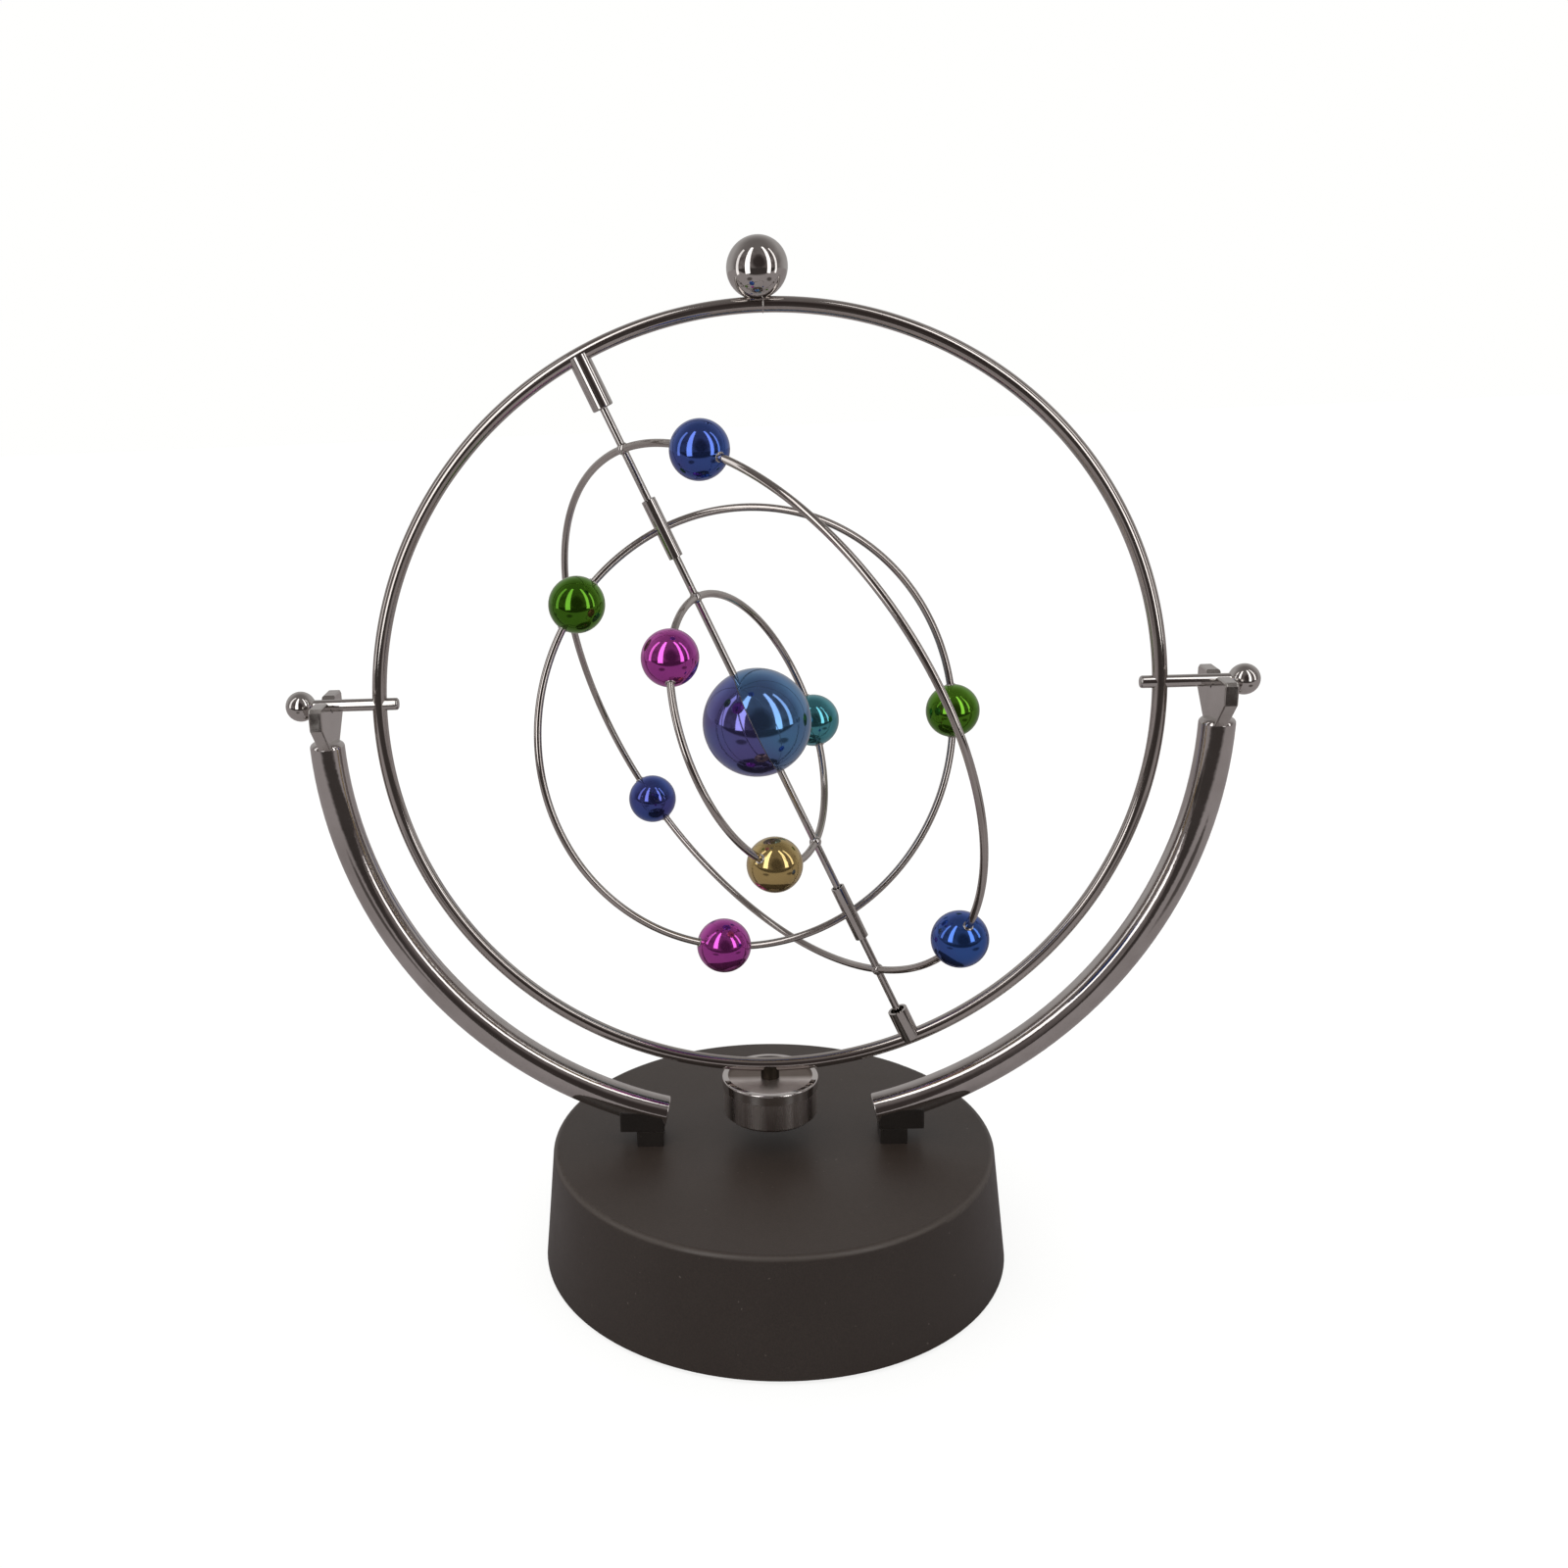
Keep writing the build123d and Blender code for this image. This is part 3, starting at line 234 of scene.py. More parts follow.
# ---- Batteries and contacts -------------------------------------------------
# Four AA cells lie side by side in the cover, each in a shrunk film jacket with
# bare zinc-coated ends.  Nickelled strips and coil springs press on them.
def make_metal(name, colour, polish, streak, wave):
    """Plain worked metal with rolling or turning marks."""
    material, tree, shader = start_material(name)
    place = object_place(tree)
    marks = add_noise(tree, streak, 3.0, 0.6, place)
    stain = add_noise(tree, 60.0, 4.0, 0.6, place)
    darker = tuple(part * 0.6 for part in colour)
    tinted = blend_colours(tree, spread(tree, stain, 0.35, 0.7, 0.0, 0.6), colour, darker)
    tree.links.new(tinted, shader.inputs["Base Color"])
    tree.links.new(spread(tree, marks, 0.3, 0.7, *polish), shader.inputs["Roughness"])
    tree.links.new(add_bump(tree, marks, wave), shader.inputs["Normal"])
    shader.inputs["Metallic"].default_value = 1.0
    return material


contact_nickel = make_metal("contact nickel", (0.62, 0.59, 0.53), (0.22, 0.36), 900.0, 0.00001)
dress(contact_nickel, "contact_plates", "contact_springs")
cell_jacket = make_moulded("cell jacket", (0.02, 0.022, 0.026), 700.0, (0.22, 0.30), 0.2, 0.000004)
dress(cell_jacket, *[f"battery_cell_{number}" for number in range(1, 5)])


# ---- Coil and board ---------------------------------------------------------
# The drive coil is enamelled copper on a nylon spool round a steel core.  The
# board beside it carries one transistor, a capacitor and a resistor.
bobbin_nylon = make_moulded("bobbin nylon", (0.62, 0.58, 0.48), 1200.0, (0.38, 0.48), 0.1, 0.00001)
dress(bobbin_nylon, "coil_bobbin", "sleeve_bushes")
copper_wire = make_metal("enamelled copper", (0.55, 0.20, 0.07), (0.20, 0.34), 2600.0, 0.00005)
dress(copper_wire, "coil_winding")
core_steel = make_metal("core steel", (0.32, 0.31, 0.30), (0.30, 0.48), 1500.0, 0.00001)
dress(core_steel, "coil_core", "arm_screws", "cover_screws")
solder_mask = make_moulded("solder mask", (0.03, 0.16, 0.05), 500.0, (0.28, 0.38), 0.2, 0.00001)
dress(solder_mask, "circuit_board")
component_case = make_moulded("component case", (0.015, 0.015, 0.016), 2000.0, (0.30, 0.40), 0.1, 0.00001)
dress(component_case, "transistor", "capacitor")
resistor_lacquer = make_moulded("resistor lacquer", (0.55, 0.38, 0.20), 900.0, (0.25, 0.35), 0.1, 0.00001)
dress(resistor_lacquer, "resistor")
lead_sleeving = make_moulded("lead sleeving", (0.38, 0.02, 0.015), 900.0, (0.35, 0.45), 0.1, 0.00001)
dress(lead_sleeving, "coil_leads", "battery_leads")


# ---- Foot ring --------------------------------------------------------------
# A soft black rubber ring glued in the cover's groove; the base rests on it.
foot_rubber = make_moulded("foot rubber", (0.014, 0.013, 0.013), 1500.0, (0.62, 0.78), 0.8, 0.00003)
dress(foot_rubber, "foot_ring")


# ---- Posts ------------------------------------------------------------------
# Two glossy black blocks with a hollowed saddle carry the arms; a screw from
# inside the base goes up through each into its arm.
post_plastic = make_moulded("post plastic", (0.012, 0.0105, 0.0095), 1800.0, (0.24, 0.34), 0.3, 0.000006)
dress(post_plastic, "left_post", "right_post")


# ---- Arms and forks ---------------------------------------------------------
# Solid steel bar, bent to a circle, polished and chromed, with a flat fork let
# into the head of each arm.  The chrome is bright but not perfectly flat.
plated_metal, plate_in, plate_out = start_group(
    "plated metal",
    [("Tint", "NodeSocketColor", (0.55, 0.53, 0.51, 1.0)),
     ("Haze", "NodeSocketFloat", 0.25),
     ("Polish", "NodeSocketFloat", 0.05),
     ("Dullest", "NodeSocketFloat", 0.14)],
    [("Color", "NodeSocketColor"), ("Roughness", "NodeSocketFloat"), ("Height", "NodeSocketFloat")],
)
plate_place = object_place(plated_metal)
haze = add_noise(plated_metal, 45.0, 5.0, 0.62, plate_place)
wipe = add_noise(plated_metal, 340.0, 3.0, 0.55, plate_place)
cloudy_share = calculate(
    plated_metal, "MULTIPLY", spread(plated_metal, haze, 0.42, 0.72, 0.0, 1.0), plate_in.outputs["Haze"])
hazed = blend_colours(plated_metal, cloudy_share, plate_in.outputs["Tint"], (0.27, 0.235, 0.215))
plated_metal.links.new(hazed, plate_out.inputs["Color"])
plated_metal.links.new(
    spread(plated_metal, wipe, 0.38, 0.75, plate_in.outputs["Polish"], plate_in.outputs["Dullest"]),
    plate_out.inputs["Roughness"],
)
plated_metal.links.new(haze, plate_out.inputs["Height"])


def make_plated(name, tint, haze_share, polish, wave):
    """Bright plating: tint, cloudiness, polish range and how wavy the surface is."""
    material, tree, shader = start_material(name)
    plate = place_group(
        tree, plated_metal, Tint=(*tint, 1.0), Haze=haze_share, Polish=polish[0], Dullest=polish[1],
    )
    tree.links.new(plate.outputs["Color"], shader.inputs["Base Color"])
    tree.links.new(plate.outputs["Roughness"], shader.inputs["Roughness"])
    tree.links.new(add_bump(tree, plate.outputs["Height"], wave), shader.inputs["Normal"])
    shader.inputs["Metallic"].default_value = 1.0
    return material


arm_chrome = make_plated("arm chrome", (0.60, 0.57, 0.555), 0.35, (0.04, 0.10), 0.00008)
dress(arm_chrome, "left_arm", "right_arm")
fork_chrome = make_plated("fork chrome", (0.55, 0.525, 0.50), 0.45, (0.12, 0.24), 0.00004)
dress(fork_chrome, "left_fork", "right_fork")


# ---- Ring and its pins ------------------------------------------------------
# Round steel wire closed to a hoop with a butt weld at the top, under the ball.
# Pins, end balls, cups and the neck of the weight are welded on before plating.
fitting_chrome = make_plated("fitting chrome", (0.60, 0.575, 0.555), 0.35, (0.04, 0.09), 0.00002)

# Drawn wire: the die leaves fine lines along it, held by the wire's own round and
# length attributes.
LINES_ROUND = 14.0
LINES_ALONG = 9.0
drawn_lines, lines_in, lines_out = start_group(
    "drawn lines",
    [("Tint", "NodeSocketColor", (0.54, 0.505, 0.48, 1.0)), ("Depth", "NodeSocketFloat", 0.35)],
    [("Color", "NodeSocketColor"), ("Roughness", "NodeSocketFloat")],
)
wire_round = drawn_lines.nodes.new("ShaderNodeAttribute")
wire_round.attribute_name = "wire_round"
wire_length = drawn_lines.nodes.new("ShaderNodeAttribute")
wire_length.attribute_name = "wire_length"
wire_spot = drawn_lines.nodes.new("ShaderNodeCombineXYZ")
drawn_lines.links.new(
    calculate(drawn_lines, "MULTIPLY", wire_round.outputs["Fac"], LINES_ROUND), wire_spot.inputs["X"])
drawn_lines.links.new(
    calculate(drawn_lines, "MULTIPLY", wire_length.outputs["Fac"], LINES_ALONG), wire_spot.inputs["Y"])
line_noise = add_noise(drawn_lines, 1.0, 3.0, 0.6, wire_spot.outputs["Vector"])
line_cloud = add_noise(drawn_lines, 60.0, 4.0, 0.6, object_place(drawn_lines))
line_share = calculate(
    drawn_lines, "MULTIPLY", spread(drawn_lines, line_noise, 0.38, 0.66, 0.0, 1.0), lines_in.outputs["Depth"])
line_tint = blend_colours(drawn_lines, line_share, lines_in.outputs["Tint"], (0.22, 0.185, 0.165))
cloud_share = spread(drawn_lines, line_cloud, 0.45, 0.75, 0.0, 0.3)
drawn_lines.links.new(
    blend_colours(drawn_lines, cloud_share, line_tint, (0.30, 0.25, 0.23)), lines_out.inputs["Color"])
drawn_lines.links.new(spread(drawn_lines, line_noise, 0.3, 0.7, 0.05, 0.12), lines_out.inputs["Roughness"])

wire_chrome, wire_tree, wire_shader = start_material("wire chrome")
wire_lines = place_group(wire_tree, drawn_lines, Tint=(0.60, 0.565, 0.54, 1.0), Depth=0.5)
wire_tree.links.new(wire_lines.outputs["Color"], wire_shader.inputs["Base Color"])
wire_tree.links.new(wire_lines.outputs["Roughness"], wire_shader.inputs["Roughness"])
wire_shader.inputs["Metallic"].default_value = 1.0


def start_shape(name, inputs):
    """Geometry Nodes group with named sizes, taking and giving a geometry."""
    shape = bpy.data.node_groups.new(name, "GeometryNodeTree")
    shape.interface.new_socket("Geometry", in_out="INPUT", socket_type="NodeSocketGeometry")
    sockets = {}
    for label, kind in inputs:
        sockets[label] = shape.interface.new_socket(label, in_out="INPUT", socket_type=kind).identifier
    shape.interface.new_socket("Geometry", in_out="OUTPUT", socket_type="NodeSocketGeometry")
    return shape, sockets, shape.nodes.new("NodeGroupInput"), shape.nodes.new("NodeGroupOutput")


def add_step(shape, kind, **links):
    """Node with its inputs linked from sockets or set to values."""
    node = shape.nodes.new(kind)
    for label, given in links.items():
        socket = node.inputs[label.replace("_", " ")]
        if isinstance(given, bpy.types.NodeSocket):
            shape.links.new(given, socket)
        else:
            socket.default_value = given
    return node


def keep_attribute(shape, geometry, name, value):
    """Stores a point attribute on a geometry."""
    store = add_step(shape, "GeometryNodeStoreNamedAttribute", Geometry=geometry, Name=name, Value=value)
    return store.outputs["Geometry"]


def finish_shape(shape, made, given, result):
    """Gives what was made its material and joins it to the geometry that came in."""
    real = add_step(shape, "GeometryNodeRealizeInstances", Geometry=made)
    dressed = add_step(
        shape, "GeometryNodeSetMaterial", Geometry=real.outputs["Geometry"],
        Material=given.outputs["Material"])
    join = shape.nodes.new("GeometryNodeJoinGeometry")
    shape.links.new(dressed.outputs["Geometry"], join.inputs["Geometry"])
    shape.links.new(given.outputs["Geometry"], join.inputs["Geometry"])
    shape.links.new(join.outputs["Geometry"], result.inputs["Geometry"])


bent_wire, bent_sizes, bent_in, bent_out = start_shape(
    "bent wire",
    [("Radius", "NodeSocketFloat"), ("Wire Radius", "NodeSocketFloat"), ("Start", "NodeSocketFloat"),
     ("Sweep", "NodeSocketFloat"), ("Steps", "NodeSocketInt"), ("Sides", "NodeSocketInt"),
     ("Place", "NodeSocketVector"), ("Turn", "NodeSocketRotation"), ("Material", "NodeSocketMaterial")],
)
bend = add_step(
    bent_wire, "GeometryNodeCurveArc", Resolution=bent_in.outputs["Steps"], Radius=bent_in.outputs["Radius"],
    Start_Angle=bent_in.outputs["Start"], Sweep_Angle=bent_in.outputs["Sweep"])
bend_line = keep_attribute(
    bent_wire, bend.outputs["Curve"], "wire_length",
    add_step(bent_wire, "GeometryNodeSplineParameter").outputs["Factor"])
bend_section = add_step(
    bent_wire, "GeometryNodeCurvePrimitiveCircle", Resolution=bent_in.outputs["Sides"],
    Radius=bent_in.outputs["Wire Radius"])
bend_round = keep_attribute(
    bent_wire, bend_section.outputs["Curve"], "wire_round",
    add_step(bent_wire, "GeometryNodeSplineParameter").outputs["Factor"])
bend_tube = add_step(
    bent_wire, "GeometryNodeCurveToMesh", Curve=bend_line, Profile_Curve=bend_round, Fill_Caps=True)
bend_weld = add_step(
    bent_wire, "GeometryNodeMergeByDistance", Geometry=bend_tube.outputs["Mesh"], Distance=0.000001)
bend_smooth = add_step(bent_wire, "GeometryNodeSetShadeSmooth", Geometry=bend_weld.outputs["Geometry"])
bend_placed = add_step(
    bent_wire, "GeometryNodeTransform", Geometry=bend_smooth.outputs["Geometry"],
    Translation=bent_in.outputs["Place"], Rotation=bent_in.outputs["Turn"])
finish_shape(bent_wire, bend_placed.outputs["Geometry"], bent_in, bent_out)


def build_piece(name, steps, start=None):
    """Plain mesh object from shape groups laid one on another."""
    piece = bpy.data.objects.new(name, start or bpy.data.meshes.new(name))
    bpy.context.scene.collection.objects.link(piece)
    for shape, sizes, values in steps:
        modifier = piece.modifiers.new(shape.name, "NODES")
        modifier.node_group = shape
        for label, value in values.items():
            modifier[sizes[label]] = value
    bpy.context.view_layer.update()
    plain = bpy.data.meshes.new_from_object(piece.evaluated_get(bpy.context.evaluated_depsgraph_get()))
    piece.modifiers.clear()
    piece.data = plain
    plain.name = name
    return piece


def facing(first, normal):
    """Rotation that lays a flat shape's X along one direction and its Z along another."""
    across = normal.cross(first)
    return Matrix((first, across, normal)).transposed().to_euler()


def middle_of(*names):
    """Centre of the box round some CAD nodes."""
    corners = [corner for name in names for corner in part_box(name)]
    low = Vector(tuple(min(corner[axis] for corner in corners) for axis in range(3)))
    high = Vector(tuple(max(corner[axis] for corner in corners) for axis in range(3)))
    return (low + high) / 2


FULL_TURN = radians(360.0)
UP = Vector((0.0, 0.0, 1.0))
RING_WIRE = 0.00165
WELD_OFFSET = 0.0011
WELD_SUNK = 0.00002
WELD_WIRE = 0.00016
ring_low, ring_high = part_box("ring")
ring_middle = middle_of("ring")
ring_radius = (ring_high.x - ring_low.x) / 2 - RING_WIRE
ring_piece = build_piece("ring_wire", [(bent_wire, bent_sizes, {
    "Radius": ring_radius, "Wire Radius": RING_WIRE, "Start": 0.0, "Sweep": FULL_TURN, "Steps": 1441,
    "Sides": 32, "Place": ring_middle, "Turn": facing(UP, Vector((0.0, -1.0, 0.0))), "Material": wire_chrome,
})])
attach(ring_piece, "ring")
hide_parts("ring")
ring_seam = build_piece("ring_butt_weld", [(bent_wire, bent_sizes, {
    "Radius": RING_WIRE - WELD_SUNK, "Wire Radius": WELD_WIRE, "Start": 0.0, "Sweep": FULL_TURN, "Steps": 49,
    "Sides": 10, "Place": Vector((WELD_OFFSET, 0.0, ring_middle.z + ring_radius)),
    "Turn": facing(UP, Vector((1.0, 0.0, 0.0))), "Material": fitting_chrome,
})])
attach(ring_seam, "ring")

dress(fitting_chrome, "left_pin", "right_pin", "left_pin_stub", "right_pin_stub",
      "left_pin_ball", "right_pin_ball", "top_ball", "upper_cup", "lower_cup")


# ---- Weight and magnet ------------------------------------------------------
# A drawn steel cup with a turned cap holds the ceramic magnet over the coil.
RECESS_RADIUS = 0.0102
RECESS_EDGE = 0.0001
TURNING_PITCH = 24000.0


def axis_distance(tree):
    """Distance from the upright line through the weight."""
    parts = tree.nodes.new("ShaderNodeSeparateXYZ")
    tree.links.new(object_place(tree), parts.inputs["Vector"])
    flat = tree.nodes.new("ShaderNodeCombineXYZ")
    for label in ("X", "Y"):
        tree.links.new(parts.outputs[label], flat.inputs[label])
    length = tree.nodes.new("ShaderNodeVectorMath")
    length.operation = "LENGTH"
    tree.links.new(flat.outputs["Vector"], length.inputs[0])
    return length.outputs["Value"]


turned_steel, turned_tree, turned_shader = start_material("turned cap")
cap_spot = axis_distance(turned_tree)
cap_recess = spread(turned_tree, cap_spot, RECESS_RADIUS - RECESS_EDGE, RECESS_RADIUS + RECESS_EDGE, 1.0, 0.0)
cap_parts = turned_tree.nodes.new("ShaderNodeSeparateXYZ")
turned_tree.links.new(object_place(turned_tree), cap_parts.inputs["Vector"])
# Painted reflection in the recess: light pinkish grey at the front, darkening to painted shade towards the
# back.
recess_back_shade = spread(turned_tree, cap_parts.outputs["Y"], -0.0022, 0.0002, 0.0, 1.0)
recess_painted_reflection = blend_colours(turned_tree, recess_back_shade, (0.86, 0.79, 0.76), (0.22, 0.18, 0.155))
cap_noise = add_noise(turned_tree, 260.0, 3.0, 0.6, object_place(turned_tree))
cap_rings = calculate(
    turned_tree, "SINE", calculate(turned_tree, "MULTIPLY", cap_spot, TURNING_PITCH), 0.0)
turned_tree.links.new(
    blend_colours(turned_tree, cap_recess, (0.70, 0.67, 0.65), recess_painted_reflection),
    turned_shader.inputs["Base Color"])
satin = calculate(turned_tree, "MULTIPLY", cap_recess, spread(turned_tree, cap_noise, 0.3, 0.7, 0.26, 0.36))
turned_tree.links.new(calculate(turned_tree, "ADD", satin, 0.06), turned_shader.inputs["Roughness"])
turned_tree.links.new(
    add_bump(turned_tree, calculate(turned_tree, "MULTIPLY", cap_rings, cap_recess), 0.0000015),
    turned_shader.inputs["Normal"])
turned_shader.inputs["Metallic"].default_value = 1.0
dress(turned_steel, "magnet_cap")

weld_scale = make_metal("weld scale", (0.060, 0.050, 0.038), (0.45, 0.62), 800.0, 0.00004)
dress(weld_scale, "magnet_neck")

drawn_cup, cup_tree, cup_shader = start_material("drawn cup")
cup_parts = cup_tree.nodes.new("ShaderNodeMapping")
cup_parts.inputs["Scale"].default_value = (900.0, 900.0, 40.0)
cup_tree.links.new(object_place(cup_tree), cup_parts.inputs["Vector"])
cup_lines = add_noise(cup_tree, 1.0, 3.0, 0.6, cup_parts.outputs["Vector"])
cup_share = spread(cup_tree, cup_lines, 0.35, 0.7, 0.0, 1.0)
cup_tree.links.new(
    blend_colours(cup_tree, cup_share, (0.50, 0.465, 0.44), (0.30, 0.265, 0.245)),
    cup_shader.inputs["Base Color"])
cup_tree.links.new(spread(cup_tree, cup_lines, 0.3, 0.7, 0.24, 0.32), cup_shader.inputs["Roughness"])
turning = cup_tree.nodes.new("ShaderNodeTangent")
turning.direction_type = "RADIAL"
turning.axis = "Z"
cup_tree.links.new(turning.outputs["Tangent"], cup_shader.inputs["Tangent"])
cup_shader.inputs["Anisotropic"].default_value = 0.85
cup_shader.inputs["Anisotropic Rotation"].default_value = 0.25
cup_shader.inputs["Metallic"].default_value = 1.0
dress(drawn_cup, "magnet_shell")
magnet_nickel = make_metal("magnet nickel", (0.55, 0.53, 0.49), (0.2, 0.3), 400.0, 0.00001)
dress(magnet_nickel, "magnet")


# ---- Axle, orbits and sleeves -----------------------------------------------
# Thin plated wire: the outer and inner orbits are bent from two halves and welded
# to the axle with a small bead, the middle one is soldered to two short tubes
# that turn on it.
ORBIT_WIRE = 0.00085
WELD_BEAD = 0.00135
BEAD_RIPPLE = 0.00008
EYELET_CLEAR = 0.00010
EYELET_LIP = 0.00020
EYELET_REACH = 0.985          # of the ball's radius
SLEEVE_CLEAR = 0.0012
axle_way = (middle_of("lower_sleeve") - middle_of("upper_sleeve")).normalized()
heart = middle_of("big_ball_left", "big_ball_right")

weld_bead, bead_sizes, bead_in, bead_out = start_shape(
    "weld bead",
    [("Radius", "NodeSocketFloat"), ("Place", "NodeSocketVector"), ("Ripple", "NodeSocketFloat"),
     ("Seed", "NodeSocketFloat"), ("Material", "NodeSocketMaterial")],
)
bead_ball = add_step(weld_bead, "GeometryNodeMeshIcoSphere", Radius=bead_in.outputs["Radius"], Subdivisions=4)
bead_noise = weld_bead.nodes.new("ShaderNodeTexNoise")
bead_noise.noise_dimensions = "4D"
bead_noise.inputs["Scale"].default_value = 900.0
weld_bead.links.new(bead_in.outputs["Seed"], bead_noise.inputs["W"])
bead_lift = add_step(weld_bead, "ShaderNodeMath")
bead_lift.operation = "MULTIPLY"
weld_bead.links.new(bead_noise.outputs["Fac"], bead_lift.inputs[0])
weld_bead.links.new(bead_in.outputs["Ripple"], bead_lift.inputs[1])
bead_push = weld_bead.nodes.new("ShaderNodeVectorMath")
bead_push.operation = "SCALE"
weld_bead.links.new(weld_bead.nodes.new("GeometryNodeInputNormal").outputs["Normal"], bead_push.inputs[0])
weld_bead.links.new(bead_lift.outputs["Value"], bead_push.inputs["Scale"])
bead_rough = add_step(
    weld_bead, "GeometryNodeSetPosition", Geometry=bead_ball.outputs["Mesh"],
    Offset=bead_push.outputs["Vector"])
bead_smooth = add_step(weld_bead, "GeometryNodeSetShadeSmooth", Geometry=bead_rough.outputs["Geometry"])
bead_placed = add_step(
    weld_bead, "GeometryNodeTransform", Geometry=bead_smooth.outputs["Geometry"],
    Translation=bead_in.outputs["Place"])
finish_shape(weld_bead, bead_placed.outputs["Geometry"], bead_in, bead_out)

eyelets, eyelet_sizes, eyelet_in, eyelet_out = start_shape(
    "eyelets",
    [("Radius", "NodeSocketFloat"), ("Lip", "NodeSocketFloat"), ("Material", "NodeSocketMaterial")],
)
eyelet_ring = add_step(
    eyelets, "GeometryNodeCurvePrimitiveCircle", Resolution=32, Radius=eyelet_in.outputs["Radius"])
eyelet_lip = add_step(
    eyelets, "GeometryNodeCurvePrimitiveCircle", Resolution=12, Radius=eyelet_in.outputs["Lip"])
eyelet_tube = add_step(
    eyelets, "GeometryNodeCurveToMesh", Curve=eyelet_ring.outputs["Curve"],
    Profile_Curve=eyelet_lip.outputs["Curve"])
eyelet_smooth = add_step(eyelets, "GeometryNodeSetShadeSmooth", Geometry=eyelet_tube.outputs["Mesh"])
eyelet_way = add_step(eyelets, "GeometryNodeInputNamedAttribute", Name="way")
eyelet_way.data_type = "FLOAT_VECTOR"
eyelet_turn = eyelets.nodes.new("FunctionNodeAlignRotationToVector")
eyelet_turn.axis = "Z"
eyelets.links.new(
    next(socket for socket in eyelet_way.outputs if socket.name == "Attribute" and socket.enabled),
    eyelet_turn.inputs["Vector"])
eyelet_set = add_step(
    eyelets, "GeometryNodeInstanceOnPoints", Points=eyelet_in.outputs["Geometry"],
    Instance=eyelet_smooth.outputs["Geometry"], Rotation=eyelet_turn.outputs["Rotation"])
eyelet_real = add_step(eyelets, "GeometryNodeRealizeInstances", Geometry=eyelet_set.outputs["Instances"])
eyelet_dressed = add_step(
    eyelets, "GeometryNodeSetMaterial", Geometry=eyelet_real.outputs["Geometry"],
    Material=eyelet_in.outputs["Material"])
eyelets.links.new(eyelet_dressed.outputs["Geometry"], eyelet_out.inputs["Geometry"])


def circle_through(first, second, third):
    """Centre, normal and radius of the circle through three points."""
    one, two = second - first, third - first
    normal = one.cross(two)
    offset = (normal.cross(one) * two.length_squared + two.cross(normal) * one.length_squared)
    offset = offset / (2 * normal.length_squared)
    return first + offset, normal.normalized(), offset.length


def build_orbit(name, body, opening, bead):
    """Wire in two halves from the axle round, with beads, and an eyelet at each ball."""
    balls = [middle_of(f"{name}_ball_{number}") for number in (1, 2, 3)]
    centre, normal, radius = circle_through(*balls)
    nearest = heart + axle_way * (centre - heart).dot(axle_way)
    side = (nearest - centre).length
    reach = (radius ** 2 - side ** 2) ** 0.5
    tops = [nearest - axle_way * reach, nearest + axle_way * reach]
    first = (tops[0] - centre).normalized()
    second = (tops[1] - centre).normalized()
    angle = first.angle(second)
    if first.cross(second).dot(normal) < 0:
        angle = FULL_TURN - angle
    gap = opening / radius
    shared = {"Radius": radius, "Wire Radius": ORBIT_WIRE, "Steps": 520, "Sides": 24, "Place": centre,
              "Turn": facing(first, normal), "Material": wire_chrome}
    steps = [
        (bent_wire, bent_sizes, {**shared, "Start": gap, "Sweep": angle - 2 * gap}),
        (bent_wire, bent_sizes, {**shared, "Start": angle + gap, "Sweep": FULL_TURN - angle - 2 * gap}),
    ]
    if bead:
        for seed, top in enumerate(tops):
            steps.append((weld_bead, bead_sizes, {
                "Radius": WELD_BEAD, "Place": top, "Ripple": BEAD_RIPPLE, "Seed": float(seed),
                "Material": fitting_chrome}))
    wire = build_piece(f"{name}_orbit_wire", steps)
    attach(wire, body)
    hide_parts(f"{name}_orbit")
    ball_low, ball_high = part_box(f"{name}_ball_1")
    ball_radius = (ball_high.z - ball_low.z) / 2
    step = 2 * asin(EYELET_REACH * ball_radius / (2 * radius))
    entries, ways = [], []
    for place in balls:
        for turned in (-step, step):
            spoke = Matrix.Rotation(turned, 3, normal) @ (place - centre)
            entries.append(centre + spoke)
            ways.append(normal.cross(spoke).normalized())
    seeds = bpy.data.meshes.new(f"{name} eyelets")
    seeds.from_pydata(entries, [], [])
    way = seeds.attributes.new("way", "FLOAT_VECTOR", "POINT")
    for number, direction in enumerate(ways):
        way.data[number].vector = direction
    collars = build_piece(f"{name}_eyelets", [(eyelets, eyelet_sizes, {
        "Radius": ORBIT_WIRE + EYELET_CLEAR, "Lip": EYELET_LIP, "Material": fitting_chrome})], seeds)
    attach(collars, body)


build_orbit("outer", "axle", 0.0, True)
build_orbit("inner", "axle", 0.0, True)
build_orbit("middle", "middle_orbit", SLEEVE_CLEAR, False)
dress(fitting_chrome, "axle_rod", "upper_sleeve", "lower_sleeve")


